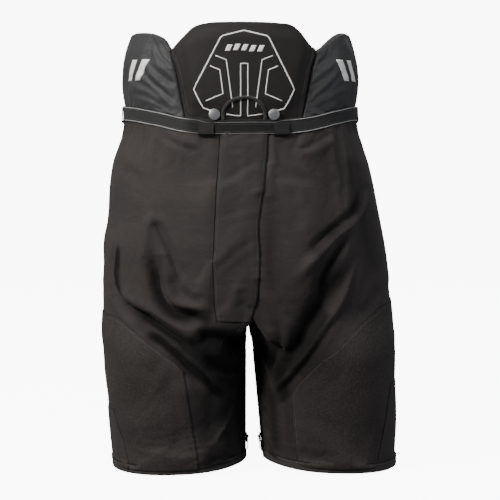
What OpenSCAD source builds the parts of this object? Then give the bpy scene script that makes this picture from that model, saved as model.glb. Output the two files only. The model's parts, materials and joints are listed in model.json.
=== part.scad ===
// Ice hockey pants: padded shell, floating spine and kidney pads, belt with a cam buckle,
// laced fly, thigh guards, hip and tailbone pads, and a zip up the inside of each leg.
// Millimetres, +Z up, +Y to the wearer's front, +X to the wearer's right.
// The origin is the middle of the waist, level with the belt at the wearer's sides.

/* [Height] */
// Leg hem below the belt
hem_drop = 494; // [470:1:520]
// Crotch below the belt
crotch_drop = 283; // [270:1:295]
// Top of the spine pad above the belt
spine_top = 123; // [110:1:135]
// Top of the kidney pads above the belt
kidney_top = 114; // [100:1:120]
// Lowest point of the notch between spine and kidney pads
notch_top = 85; // [75:1:95]

/* [Girth] */
// Half the width at the belt
waist_half = 162; // [155:1:170]
// Half the width across the thighs
thigh_half = 206; // [200:1:212]
// Half the width across the hems
hem_half = 200; // [194:1:206]
// Back of the seat behind the middle
seat_back = 146; // [140:1:152]
// Front of the belly before the middle
belly_front = 131; // [126:1:136]
// How far the hems hang to the wearer's right
lean = 20; // [0:1:22]

/* [Belt] */
// Width of the webbing
belt_w = 20; // [18:1:22]
// Thickness of the webbing
belt_t = 2.5; // [2:0.1:2.6]
// How far the belt dips at the back
belt_dip = 19; // [14:1:20]
// How far the belt dips at the front
front_dip = 6; // [4:1:8]

/* [Padding] */
// Thickness of the outer fabric and its backing
shell_t = 2.5; // [2:0.1:2.8]
// Thickness of the hip and thigh foam
foam_t = 10; // [8:0.5:11]
// Thickness of the plastic plates
plate_t = 2.2; // [1.6:0.1:2.4]

/* [Fasteners] */
// Radius of a suspender button's cap
button_r = 7.5; // [7:0.1:8]
// Sideways distance of a back button from the middle
back_button_x = 40; // [39:1:42]
// Sideways distance of a front button from the middle
front_button_x = 52; // [48:1:56]
// Height of a front button above the belt at the sides
front_button_z = 16; // [15:1:18]
// Length of zip that the slider travels
zip_travel = 110; // [80:5:115]

/* [Hidden] */
$fn = 24;

hem_z = -hem_drop;
crotch_z = -crotch_drop;
seat_bottom = crotch_z + 21;    // the seat panels end here
groin_bottom = crotch_z - 19;   // the leg shells start here
seam = 0.4;                     // gap left between two sewn pieces
pad_rise = 12.5;                  // the floating pads start this far above the belt's middle
binding_h = 12;                 // height of the hem binding
hem_rise = 11;                  // the hem is this much higher between the legs
inseam = 120;                   // the inseams' angle round a leg, from its outer side
back_power = 2.2;               // roundness of the body's section behind
front_power = 2.5;              // and in front
leg_power = 2.3;                // and round a leg
gap_top = 3;                    // half the gap between the legs at the crotch
gap_hem = 13;                   // and at the hems
foam_in = shell_t + 2.8 + plate_t + foam_t;
liner_in = foam_in + 1.2;
liner_t = 1.2;

outer_table = [[hem_z, hem_half], [hem_z + 66, hem_half + 2], [-336, thigh_half], [-262, thigh_half],
    [-200, thigh_half - 5], [-144, thigh_half - 12], [-74, waist_half + 20], [-27, waist_half + 6],
    [0, waist_half], [40, waist_half + 1], [77, waist_half - 2], [125, waist_half - 15]];
back_table = [[hem_z, -107], [-430, -113], [-360, -122], [-283, -136], [-215, -seat_back + 1],
    [-150, -seat_back], [-60, -133], [0, -121], [60, -120], [125, -117]];
front_table = [[hem_z, 105], [-430, 111], [-360, 119], [-283, belly_front - 4], [-215, belly_front],
    [-150, belly_front - 1], [-60, 123], [0, 116], [60, 116], [125, 114]];

// ---- curves ----
function clamp(x, lo = 0, hi = 1) = min(max(x, lo), hi);
function smooth(x) = let (t = clamp(x)) t * t * (3 - 2 * t);
function mix(a, b, t) = a + (b - a) * t;
function span(x, t, i = 0) = i >= len(t) - 2 || x < t[i + 1][0] ? i : span(x, t, i + 1);
function slope(t, i) = let (a = max(i - 1, 0), b = min(i + 1, len(t) - 1)) (t[b][1] - t[a][1]) / (t[b][0] - t[a][0]);
// A smooth curve through the points of a table
function through(x, t) = let (i = span(x, t), h = t[i + 1][0] - t[i][0], s = clamp((x - t[i][0]) / h))
    (1 + 2 * s) * (1 - s) ^ 2 * t[i][1] + s * (1 - s) ^ 2 * h * slope(t, i)
    + s ^ 2 * (3 - 2 * s) * t[i + 1][1] - s ^ 2 * (1 - s) * h * slope(t, i + 1);
function signed_pow(x, p) = sign(x) * abs(x) ^ p;
function sway(z) = lean * max(0, -z - 50) / (hem_drop - 50);

// ---- the body's surface: u is 0 at the back, 90 on the wearer's right, 180 at the front ----
function power(u) = abs(u) > 90 ? front_power : back_power;
function torso(u, z, off) = let (
        a = through(z, outer_table) + off,
        yb = through(z, back_table) - off,
        yf = through(z, front_table) + off,
        p = 2 / power(u))
    [a * signed_pow(sin(u), p) + sway(z), (yf + yb) / 2 - (yf - yb) / 2 * signed_pow(cos(u), p), z];
// The angle of a point at sideways distance x, behind or in front
function back_angle(x, z) = sign(x) * asin(clamp(abs(x) / through(z, outer_table)) ^ (back_power / 2));
function front_angle(x, z) = sign(x) * (180 - asin(clamp(abs(x) / through(z, outer_table)) ^ (front_power / 2)));
// Share of the half width that an angle lies at
function share(u) = abs(sin(u)) ^ (2 / power(u));
function belt_z(u) = abs(u) > 90 ? -front_dip * (1 - share(u)) : -belt_dip * (1 - smooth((share(u) - 0.3) / 0.8) * 1.14);

// ---- a leg's surface: f is 0 on its outer side, 90 at the front, 180 between the legs ----
function inner_x(z) = mix(gap_top, gap_hem, clamp((crotch_z - z) / (crotch_z - hem_z)));
function leg_half_ring(f, z, off) = let (flat = 0.3 - off, yb = through(z, back_table) - off, yf = through(z, front_table) + off)
    abs(f) <= inseam
        ? let (p = torso(90 + 90 * f / inseam, z, off)) [max(flat, p[0] - sway(z)), p[1]]
        : let (g = f > 0 ? f : f + 360) [flat, mix(yf, yb, (g - inseam) / (360 - 2 * inseam))];
function leg_ring(f, z, off) = let (
        xo = through(z, outer_table) + off, xi = inner_x(z) - off,
        yb = through(z, back_table) - off, yf = through(z, front_table) + off)
    [(xo + xi) / 2 + (xo - xi) / 2 * signed_pow(cos(f), 2 / leg_power),
        (yf + yb) / 2 + (yf - yb) / 2 * signed_pow(sin(f), 2 / leg_power)];
function leg(side, f, z, off) = let (
        w = smooth((seat_bottom - z) / 75),
        p = mix(leg_half_ring(f, z, off), leg_ring(f, z, off), w))
    [side * p[0] + sway(z), p[1], z];
function hem(f) = hem_z + hem_rise * ((1 - cos(f)) / 2) ^ 3;

// ---- solids made of two grids of points ----
function grid(nu, nv, f) = [for (j = [0:nv]) [for (i = [0:nu]) f(i / nu, j / nv)]];
module skin(outside, inside, ring = false, flip = false) {
    rows = len(outside);
    cols = ring ? len(outside[0]) - 1 : len(outside[0]);
    n = rows * cols;
    points = concat(
        [for (r = outside) for (i = [0:cols - 1]) r[i]],
        [for (r = inside) for (i = [0:cols - 1]) r[i]]);
    last = ring ? cols - 1 : cols - 2;
    quads = concat(
        [for (j = [0:rows - 2]) for (i = [0:last]) let (k = (i + 1) % cols, a = j * cols, b = a + cols) [a + i, b + i, b + k, a + k]],
        [for (j = [0:rows - 2]) for (i = [0:last]) let (k = (i + 1) % cols, a = n + j * cols, b = a + cols) [a + i, a + k, b + k, b + i]],
        [for (i = [0:last]) let (k = (i + 1) % cols) [i, k, n + k, n + i]],
        [for (i = [0:last]) let (k = (i + 1) % cols, t = n - cols) [t + k, t + i, n + t + i, n + t + k]],
        ring ? [] : [for (j = [0:rows - 2]) let (a = j * cols, b = a + cols) [b, a, n + a, n + b]],
        ring ? [] : [for (j = [0:rows - 2]) let (a = j * cols + cols - 1, b = a + cols) [a, b, n + b, n + a]]);
    faces = [for (q = quads) each flip ? [[q[0], q[2], q[1]], [q[0], q[3], q[2]]] : [[q[0], q[1], q[2]], [q[0], q[2], q[3]]]];
    polyhedron(points, faces);
}
// A curved panel on the body between two side edges, each a function of height
module body_patch(nu, nv, left, right, bottom, top, off_in, off_out) {
    at = function (s, t, off) let (
            u0 = mix(left(-60), right(-60), s),
            z = mix(bottom(u0), top(u0), t),
            u = mix(left(z), right(z), s))
        torso(u, z, off(s, t));
    skin(grid(nu, nv, function (s, t) at(s, t, off_out)), grid(nu, nv, function (s, t) at(s, t, off_in)));
}
module leg_patch(side, nu, nv, f0, f1, bottom, top, off_in, off_out, ring = false) {
    at = function (s, t, off) let (f = mix(f0, f1, s)) leg(side, f, mix(bottom(f), top(f), t), off(s, t));
    skin(grid(nu, nv, function (s, t) at(s, t, off_out)), grid(nu, nv, function (s, t) at(s, t, off_in)), ring, side < 0);
}
// A tube along a path, with an even number of sides
function unit(v) = v / norm(v);
module tube(path, r, sides = 8, closed = false) {
    n = len(path);
    dir = [for (i = [0:n - 1]) unit(closed ? path[(i + 1) % n] - path[(i + n - 1) % n] : path[min(i + 1, n - 1)] - path[max(i - 1, 0)])];
    ref = [for (d = dir) abs(d[2]) > 0.8 ? [0, 1, 0] : [0, 0, 1]];
    side = [for (i = [0:n - 1]) unit(cross(dir[i], ref[i]))];
    points = [for (i = [0:n - 1]) let (w = cross(side[i], dir[i]))
        for (k = [0:sides - 1]) path[i] + r * (cos(360 * k / sides) * side[i] + sin(360 * k / sides) * w)];
    last = closed ? n - 1 : n - 2;
    walls = [for (i = [0:last]) for (k = [0:sides - 1]) let (a = i * sides, b = ((i + 1) % n) * sides, m = (k + 1) % sides)
        each [[a + k, a + m, b + m], [a + k, b + m, b + k]]];
    ends = closed ? [] : [[for (k = [sides - 1:-1:0]) k], [for (k = [0:sides - 1]) (n - 1) * sides + k]];
    polyhedron(points, concat(walls, ends));
}

// ---- seat ----
seat_left_edge = [[seat_bottom, -44], [-150, -40], [-10, -36]];
seat_right_edge = [[seat_bottom, 9], [-215, 17], [-150, 24], [-80, 31], [-10, 36]];
function left_seam(z) = back_angle(through(z, seat_left_edge), z);
function right_seam(z) = back_angle(through(z, seat_right_edge), z);
function seam_angle(z) = seam * 0.5;
fly_half = 9;                   // half the fly's gap
fly_bottom = -118;              // the fly closes below this
function fly_edge(z) = fly_half * smooth((z - fly_bottom) / 12) + seam / 2;
function seat_top(u) = belt_z(u) - 2;

module seat_panel(nu, left, right, top = function (u) seat_top(u)) {
    body_patch(nu, 9, left, right, function (u) seat_bottom, top,
        function (s, t) -shell_t, function (s, t) 0);
}
module seat_back_centre() {
    color("#37353a") seat_panel(4, function (z) left_seam(z) + seam_angle(z), function (z) right_seam(z) - seam_angle(z));
}
module seat_back_left() {
    color("#2f2b2b") seat_panel(10, function (z) -90, function (z) left_seam(z) - seam_angle(z));
}
module seat_back_right() {
    color("#2f2b2b") seat_panel(10, function (z) right_seam(z) + seam_angle(z), function (z) 90);
}
module seat_front_left() {
    color("#2f2b2b") seat_panel(10, function (z) -front_angle(fly_edge(z), z), function (z) -90 - seam_angle(z));
}
module seat_front_right() {
    color("#2f2b2b") seat_panel(10, function (z) 90 + seam_angle(z), function (z) front_angle(fly_edge(z), z));
}
// The band that the belt lies on, which stands higher at the front for the buttons
front_rise = 30;
function band_top(u) = mix(belt_z(u) + pad_rise - 1.3, front_rise, smooth((abs(u) - 142) / 8));
module waistband() {
    color("#262425")
        body_patch(48, 2, function (z) -front_angle(fly_edge(0), 0), function (z) front_angle(fly_edge(0), 0),
            function (u) seat_top(u) + seam, function (u) band_top(u),
            function (s, t) -shell_t - 0.5, function (s, t) 0);
}
module fly_tongue() {
    color("#232122")
        body_patch(6, 8, function (z) front_angle(32, z), function (z) 360 - front_angle(32, z),
            function (u) -132, function (u) 10,
            function (s, t) -shell_t - 4.2, function (s, t) -shell_t - 2.6);
}
eyelet_x = 17;
eyelet_r = 2.6;
eyelet_rows = [-32, -52, -72, -92, -110];
module at_front(x, z, off) {
    p = torso(front_angle(x, z), z, off);
    translate([p[0], p[1], z]) rotate([-90, 0, 0]) children();
}
module fly_eyelets() {
    color("#8d8f93")
        for (z = eyelet_rows, side = [-1, 1])
            at_front(side * eyelet_x, z, 0.85)
                difference() {
                    cylinder(r = eyelet_r + 1.9, h = 0.9, $fn = 14);
                    translate([0, 0, -0.5]) cylinder(r = eyelet_r, h = 2, $fn = 14);
                }
}
// Each strand crosses over one flap's edge and comes up from behind through the other flap's eyelet
function lace_cross(side, z0, z1, lift) = [
    [side * (eyelet_x - 3.2), 3.5, mix(z0, z1, 0.1)], [side * fly_half, 3.2, mix(z0, z1, 0.25)],
    [0, lift, mix(z0, z1, 0.5)],
    [-side * fly_half, 3.2, mix(z0, z1, 0.75)], [-side * (eyelet_x - 3.2), 3.5, mix(z0, z1, 0.9)]];
lace_r = 1.3;
module lace_strand(start, lift) {
    rows = len(eyelet_rows);
    flat = [for (i = [0:rows - 2]) each lace_cross(start * (i % 2 == 0 ? 1 : -1), eyelet_rows[i], eyelet_rows[i + 1], lift)];
    face = through(-70, front_table);
    tube([for (p = flat) [p[0] + sway(p[2]), through(p[2], front_table) + p[1], p[2]]], lace_r, 7);
}
module fly_lace() {
    color("#e8e6e0") {
        lace_strand(1, 5.2);
        lace_strand(-1, 1.9);
    }
}
module button() {
    cap_h = 1.6;
    dome_h = 1.1;
    dome_r = (button_r ^ 2 + dome_h ^ 2) / (2 * dome_h);
    stem_h = 5.7;
    cylinder(r = 2, h = stem_h + 0.2);
    translate([0, 0, stem_h]) cylinder(r = button_r, h = cap_h);
    translate([0, 0, stem_h + cap_h])
        intersection() {
            translate([0, 0, dome_h - dome_r]) sphere(r = dome_r);
            cylinder(r = button_r, h = dome_h);
        }
}
module front_buttons() {
    color("#c9cbd0")
        for (side = [-1, 1]) at_front(side * front_button_x, front_button_z, 0.1) button();
}

// ---- what lies inside the seat ----
module inner_patch(nu, nv, u0, u1, z0, z1, off_in, off_out) {
    body_patch(nu, nv, function (z) u0, function (z) u1, function (u) z0, function (u) z1,
        function (s, t) -off_in, function (s, t) -off_out);
}
module seat_liner() {
    color("#b8b42e")
        skin(grid(36, 4, function (s, t) torso(360 * s - 180, mix(seat_bottom + 4, -24, t), -liner_in)),
            grid(36, 4, function (s, t) torso(360 * s - 180, mix(seat_bottom + 4, -24, t), -liner_in - liner_t)), ring = true);
}
plate_out = shell_t + 2;
foam_out = plate_out + plate_t + 0.8;
module tailbone_plate() { color("#1b1b1d") inner_patch(8, 6, -15, 15, -232, -112, plate_out + plate_t, plate_out); }
module tailbone_foam() { color("#4c4c50") inner_patch(8, 6, -19, 19, -240, -102, foam_in, foam_out); }
module hip_plate(side) { color("#1b1b1d") inner_patch(9, 6, side * 92 - 24, side * 92 + 24, -205, -60, plate_out + plate_t, plate_out); }
module hip_foam(side) { color("#4c4c50") inner_patch(9, 6, side * 92 - 34, side * 92 + 34, -222, -40, foam_in, foam_out); }

// ---- belt ----
belt_in = 0.9;
belt_out = belt_in + belt_t;
buckle_half = 17;
belt_end = 20;
function belt_angle(s) = let (e = front_angle(belt_end, -front_dip)) mix(-e, e, s);
module belt() {
    color("#3c3d3e")
        skin(grid(52, 1, function (s, t) let (u = belt_angle(s)) torso(u, belt_z(u) + (t - 0.5) * belt_w, belt_out)),
            grid(52, 1, function (s, t) let (u = belt_angle(s)) torso(u, belt_z(u) + (t - 0.5) * belt_w, belt_in)));
}
module belt_piping() {
    color("#9b9d9c")
        for (edge = [-1, 1])
            tube([for (i = [0:52]) let (u = belt_angle(i / 52)) torso(u, belt_z(u) + edge * (belt_w / 2 - 1.6), belt_out + 0.65)], 0.5, 4);
}
belt_front_y = through(-front_dip, front_table);
module in_front(x, y, z) {
    translate([x, belt_front_y + y, z - front_dip]) children();
}
tail_y = 4.9;
tail_t = 1.6;
tail_end = -72;
// The free end of the webbing, through the buckle and on over the belt
module belt_tail() {
    color("#3c3d3e")
        in_front(tail_end, tail_y, -belt_w / 2 + 0.6) cube([belt_end + 3 - tail_end, tail_t, belt_w - 1.2]);
}
keeper_x = -52;
module belt_keeper() {
    color("#1f1f20")
        difference() {
            in_front(keeper_x - 5, belt_out + 0.2, -belt_w / 2 - 1.6) cube([10, tail_y + tail_t + 1.4 - belt_out, belt_w + 3.2]);
            in_front(keeper_x - 6, belt_out - 1, -belt_w / 2 - 0.2) cube([12, tail_y + tail_t + 1.2 - belt_out, belt_w + 0.4]);
        }
}
// A short strap over the belt, sewn down above and below it
loop_w = 20;
module belt_loop(u) {
    half = loop_w / 2 / through(0, outer_table) * 57.3 * (abs(cos(u)) > 0.5 ? 1.0 : 1.25);
    reach = pad_rise;
    rise = function (t) smooth(t / 0.13) * smooth((1 - t) / 0.13);
    body_patch(2, 9, function (z) u - half, function (z) u + half,
        function (v) belt_z(v) - reach, function (v) belt_z(v) + reach,
        function (s, t) mix(0.15, belt_out + 1.3, rise(t)), function (s, t) mix(1.1, belt_out + 2.2, rise(t)));
}
loop_back_x = 50;
module belt_loops() {
    color("#19191a") {
        for (side = [-1, 1]) {
            belt_loop(back_angle(side * loop_back_x, -belt_dip));
            belt_loop(side * 90);
            belt_loop(side * 140);
        }
    }
}

// ---- cam buckle ----
pin_x = 12;
pin_y = 9.7;
pin_r = 1.2;
base_y = 2.6;                   // the frame's base stands this far off the fabric
cheek_in = belt_w / 2 + 0.4;
cheek_t = 2.4;
module buckle_frame() {
    color("#141415")
        difference() {
            union() {
                in_front(-buckle_half, base_y, -cheek_in - cheek_t) cube([2 * buckle_half, 1.8, 2 * (cheek_in + cheek_t)]);
                for (side = [-1, 1])
                    in_front(-buckle_half, base_y, side > 0 ? cheek_in : -cheek_in - cheek_t) cube([2 * buckle_half, 9.4, cheek_t]);
            }
            in_front(pin_x, pin_y, -20) cylinder(r = pin_r, h = 40);
        }
}
module buckle_pin() {
    color("#a9abb0") in_front(pin_x, pin_y, -cheek_in - cheek_t) cylinder(r = pin_r, h = 2 * (cheek_in + cheek_t));
}
lever_half = cheek_in - 0.5;
module buckle_lever() {
    color("#1c1c1e")
        difference() {
            union() {
                in_front(pin_x, pin_y, -lever_half) cylinder(r = 2.5, h = 2 * lever_half);
                in_front(-buckle_half - 5, pin_y - 1.6, -lever_half) cube([buckle_half + 5 + pin_x, 2.6, 2 * lever_half]);
                in_front(-buckle_half - 5, pin_y - 0.3, -lever_half) cylinder(r = 1.3, h = 2 * lever_half);
            }
            in_front(pin_x, pin_y, -20) cylinder(r = pin_r + 0.05, h = 40);
        }
}

// ---- spine pad ----
function spine_half(z) = through(z, [[-12, 78], [30, 86], [60, 92], [notch_top, 98], [102, 86], [113, 72], [spine_top, 50]]);
function spine_edge(z) = back_angle(spine_half(min(z, notch_top)), z);
// The top outline: flat over the middle, rounded shoulders, then a slope down to the notch
function spine_rim(u) = let (x = 98 * abs(u) / spine_edge(-60))
    x < 42 ? spine_top - 1.5 * (x / 42) ^ 2
           : through(x, [[42, spine_top - 1.5], [62, spine_top - 4], [74, spine_top - 10], [83, spine_top - 18], [98, notch_top]]);
function spine_bulge(s, t) = mix(0.3, 7, smooth(t / 0.3) * smooth((1 - t) / 0.08 + 0.3)) * mix(0.55, 1, smooth(min(s, 1 - s) / 0.2));
module spine_patch(nu, nv, inset, off_in, off_out) {
    body_patch(nu, nv, function (z) -spine_edge(z) + inset * 0.36, function (z) spine_edge(z) - inset * 0.36,
        function (u) belt_z(u) + pad_rise + inset, function (u) spine_rim(u) - inset, off_in, off_out);
}
module spine_cover() {
    color("#2b2827") spine_patch(20, 11, 0.4, function (s, t) spine_bulge(s, t) - 1.4, function (s, t) spine_bulge(s, t));
}
module spine_plate() { color("#1b1b1d") spine_patch(12, 6, 8, function (s, t) -4, function (s, t) -2.2); }
module spine_foam() { color("#4c4c50") spine_patch(12, 6, 4, function (s, t) -10.6, function (s, t) -4.6); }
module spine_lining() { color("#b8b42e") spine_patch(16, 5, 0.4, function (s, t) -12.6, function (s, t) -11.3); }
// Raised lines that mark the pad's moulded channels, as routes over its face: [x, z]
trim_shield = [[0, 111.5], [-27.5, 103.5], [-65, 33], [-54, 7.5], [-46, 4.5]];
trim_inner = [[-36, 78], [-23, 72.5], [-16.5, 22]];
trim_outer = [[-43.5, 64], [-32.5, 58.5], [-28, 27.5], [-50, 17]];
trim_slot = [[-5.2, 2], [-5.2, 67], [5.2, 67], [5.2, 2]];
trim_foot = [[-20, 4.5], [-12, 2.6], [-5.2, 2]];
function trim_point(x, z, lift) = let (
        u = back_angle(x, z), w = -spine_edge(z), s = clamp((u - w) / (-2 * w)),
        z0 = belt_z(u) + pad_rise, rim = spine_rim(u * spine_edge(-60) / -w), t = clamp((z - z0) / (rim - z0)))
    torso(u, z, spine_bulge(s, t) + lift);
function dense(route, n) = [for (i = [0:len(route) - 2]) each [for (k = [0:n - 1]) mix(route[i], route[i + 1], k / n)], route[len(route) - 1]];
module trim_line(route, n, r) {
    tube([for (p = dense(route, n)) trim_point(p[0], p[1], 1.3)], r, 4);
}
module spine_trim() {
    color("#dcdcda") {
        trim_line([for (i = [4:-1:1]) trim_shield[i], each [for (p = trim_shield) [-p[0], p[1]]]], 4, 0.8);
        trim_line(trim_slot, 4, 0.6);
        for (side = [-1, 1]) {
            trim_line([for (p = trim_inner) [side * p[0], p[1]]], 4, 0.6);
            trim_line([for (p = trim_outer) [side * p[0], p[1]]], 4, 0.6);
        }
    }
}
back_button_z = -2.0;
module back_buttons() {
    color("#d5d7dc")
        for (side = [-1, 1]) {
            p = torso(back_angle(side * back_button_x, back_button_z), back_button_z, 0);
            translate([p[0], p[1] - 1.6, p[2]]) rotate([90, 0, 0]) button();
        }
}
loop_half = 28.5;
loop_z = -3.6;
loop_top = 20;
function loop_lean(z) = mix(3.8, 9.8, smooth((z - loop_z) / 20));
module hanging_loop() {
    color("#151516")
        tube([for (a = [0:12:180]) let (
                x = loop_half * signed_pow(cos(a), 0.8), z = mix(loop_z, loop_top, sin(a)))
            [x, through(z, back_table) - loop_lean(z) + 1.2 * (x / loop_half) ^ 2, z]], 2.3, 8);
}

// ---- kidney pads ----
kidney_front = 138;
function kidney_rim(u) = let (a = abs(u)) through(a, [[30, notch_top - 4], [38, notch_top + 1], [52, 104], [66, kidney_top],
    [92, kidney_top - 3], [112, 88], [128, 48], [kidney_front, 26]]);
module kidney_patch(side, nu, nv, inset, off_in, off_out) {
    near = function (z) spine_edge(clamp(z, -12, notch_top)) + 1.2 + inset * 0.4;
    far = function (z) kidney_front - inset * 0.4;
    bottom = function (u) belt_z(u) + pad_rise + inset;
    top = function (u) kidney_rim(u) - inset;
    if (side > 0) body_patch(nu, nv, near, far, bottom, top, off_in, off_out);
    else body_patch(nu, nv, function (z) -far(z), function (z) -near(z), bottom, top, off_in, off_out);
}
// The cover and its inner lining close round the foam as one bag
module kidney_cover(side) {
    color("#565758") {
        kidney_patch(side, 16, 6, 0, function (s, t) -1.3, function (s, t) 0);
        kidney_patch(side, 16, 6, 0, function (s, t) -13.6, function (s, t) -12.4);
    }
}
module kidney_plate(side) { color("#1b1b1d") kidney_patch(side, 16, 5, 7, function (s, t) -3.9, function (s, t) -2.1); }
module kidney_foam(side) { color("#4c4c50") kidney_patch(side, 16, 6, 3, function (s, t) -11.4, function (s, t) -4.6); }
// Two slanted bars
module kidney_emblem(side) {
    color("#d8d9d9")
        for (k = [0, 1]) {
            low = side * (68 - 10 * k);
            skin(grid(2, 4, function (s, t) torso(low - side * 6 * t + (s - 0.5) * 5.6, mix(46, 73, t), 0.6)),
                grid(2, 4, function (s, t) torso(low - side * 6 * t + (s - 0.5) * 5.6, mix(46, 73, t), 0.1)));
        }
}

// ---- groin: the fabric that folds where a leg swings ----
module groin(side) {
    color("#242122")
        leg_patch(side, 30, 2, -180, 180, function (f) groin_bottom + seam / 2, function (f) seat_bottom - seam,
            function (s, t) -shell_t, function (s, t) 0, ring = true);
}

// ---- legs ----
shell_bottom = function (f) hem(f) + binding_h + 0.3;
module leg_shell(side) {
    zip_gap = 5;                // half the slit's angle
    cuts = [[-180 + zip_gap, -inseam], [-inseam, -60], [-60, 0], [0, 60], [60, inseam], [inseam, 180 - zip_gap]];
    color("#2a2627")
        for (c = cuts)
            leg_patch(side, 5, 5, c[0] + 0.1, c[1] - 0.1, shell_bottom, function (f) groin_bottom - seam / 2,
                function (s, t) -shell_t, function (s, t) 0);
}
module hem_binding(side) {
    color("#201e1f")
        leg_patch(side, 30, 1, -180 + 5, 180 - 5, function (f) hem(f), function (f) hem(f) + binding_h,
            function (s, t) -shell_t - 0.4, function (s, t) 0.8);
}
module leg_liner(side) {
    color("#b8b42e")
        leg_patch(side, 30, 3, -180, 180, function (f) hem(f) + 14, function (f) groin_bottom - 4,
            function (s, t) -liner_in - liner_t, function (s, t) -liner_in, ring = true);
}
thigh_from = -25;
thigh_to = 100;
module thigh_plate(side) {
    color("#1b1b1d")
        leg_patch(side, 10, 5, thigh_from + 5, thigh_to - 5, function (f) hem_z + 26, function (f) groin_bottom - 14,
            function (s, t) -plate_out - plate_t, function (s, t) -plate_out);
}
module thigh_foam(side) {
    color("#4c4c50")
        leg_patch(side, 10, 5, thigh_from, thigh_to, function (f) hem_z + 20, function (f) groin_bottom - 6,
            function (s, t) -foam_in, function (s, t) -foam_out);
}

// ---- zips: local Z runs up the zip, local Y points out of the leg ----
zip_low = hem(180) + 4;
zip_high = zip_low + zip_travel + 38;
tape_half = 7;
tooth_pitch = 5;
module on_zip(side) {
    a = leg(side, 180, zip_low, 0);
    b = leg(side, 180, zip_high, 0);
    up = unit(b - a);
    out = unit([-side, 0, side * up[0] / up[2]]);
    w = cross(out, up);
    multmatrix([[w[0], out[0], up[0], a[0]], [w[1], out[1], up[1], a[1]], [w[2], out[2], up[2], a[2]], [0, 0, 0, 1]]) children();
}
zip_len = zip_high - zip_low;
module zip(side) {
    color("#161617")
        on_zip(side) {
            for (e = [-1, 1]) {
                translate([e > 0 ? 0.65 : -tape_half, -1.6, 0]) cube([tape_half - 0.65, 0.9, zip_len]);
                for (k = [0:floor(zip_len / tooth_pitch) - 1])
                    translate([e > 0 ? 0.65 : -2.75, -0.65, 1 + k * tooth_pitch + (e > 0 ? tooth_pitch / 2 : 0)])
                        cube([2.1, 1.3, 2.6]);
            }
        }
}
slider_z = 14;
slider_l = 13;
slider_half = 5;
module zip_slider(side) {
    color("#2b2c2e")
        on_zip(side)
            translate([0, 0, slider_z]) {
                difference() {
                    translate([-slider_half, 1, 0]) cube([2 * slider_half, 1.5, slider_l]);
                    for (e = [-1, 1]) translate([e * slider_half, 0, 0]) rotate([0, e * 16, 0]) translate([-2, 0, -3]) cube([4, 4, 3.2]);
                }
                translate([-slider_half + 0.6, -3.4, 1]) cube([2 * slider_half - 1.2, 1.4, slider_l - 2]);
                translate([-0.4, -2.2, slider_l - 4]) cube([0.8, 3.4, 3]);
                // the post that the pull turns on
                translate([0, 2.4, slider_l - 5]) rotate([-90, 0, 0]) cylinder(r = 1.1, h = 1.9);
                translate([0, 4.2, slider_l - 5]) rotate([-90, 0, 0]) cylinder(r = 1.7, h = 0.7);
            }
}
module zip_pull(side) {
    color("#3a3b3d")
        on_zip(side)
            translate([0, 2.8, slider_z + slider_l - 5]) rotate([-90, 0, 0])
                difference() {
                    union() {
                        cylinder(r = 2.6, h = 1.2);
                        translate([-1.7, 0, 0]) cube([3.4, 15, 1.2]);
                        translate([0, 15, 0]) cylinder(r = 3, h = 1.2);
                    }
                    translate([0, 0, -1]) cylinder(r = 1.15, h = 4, $fn = 16);
                    translate([0, 15, -1]) cylinder(r = 1.3, h = 4, $fn = 16);
                }
}

seat_back_centre();
seat_back_left();
seat_back_right();
seat_front_left();
seat_front_right();
waistband();
fly_tongue();
fly_eyelets();
fly_lace();
front_buttons();
seat_liner();
tailbone_foam();
tailbone_plate();
hip_foam(-1);  // hip_foam_left
hip_foam(1);  // hip_foam_right
hip_plate(-1);  // hip_plate_left
hip_plate(1);  // hip_plate_right
belt();
belt_piping();
belt_tail();
belt_loops();
belt_keeper();
buckle_frame();
buckle_pin();
buckle_lever();
groin(-1);  // groin_left
groin(1);  // groin_right
spine_cover();
spine_plate();
spine_foam();
spine_lining();
spine_trim();
back_buttons();
hanging_loop();
kidney_cover(-1);  // kidney_cover_left
kidney_foam(-1);  // kidney_foam_left
kidney_plate(-1);  // kidney_plate_left
kidney_emblem(-1);  // kidney_emblem_left
kidney_cover(1);  // kidney_cover_right
kidney_foam(1);  // kidney_foam_right
kidney_plate(1);  // kidney_plate_right
kidney_emblem(1);  // kidney_emblem_right
leg_shell(-1);  // leg_shell_left
leg_liner(-1);  // leg_liner_left
hem_binding(-1);  // hem_binding_left
thigh_foam(-1);  // thigh_foam_left
thigh_plate(-1);  // thigh_plate_left
leg_shell(1);  // leg_shell_right
leg_liner(1);  // leg_liner_right
hem_binding(1);  // hem_binding_right
thigh_foam(1);  // thigh_foam_right
thigh_plate(1);  // thigh_plate_right
zip(-1);  // zip_left
zip(1);  // zip_right
zip_slider(-1);  // zip_slider_left
zip_slider(1);  // zip_slider_right
zip_pull(-1);  // zip_pull_left
zip_pull(1);  // zip_pull_right
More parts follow.
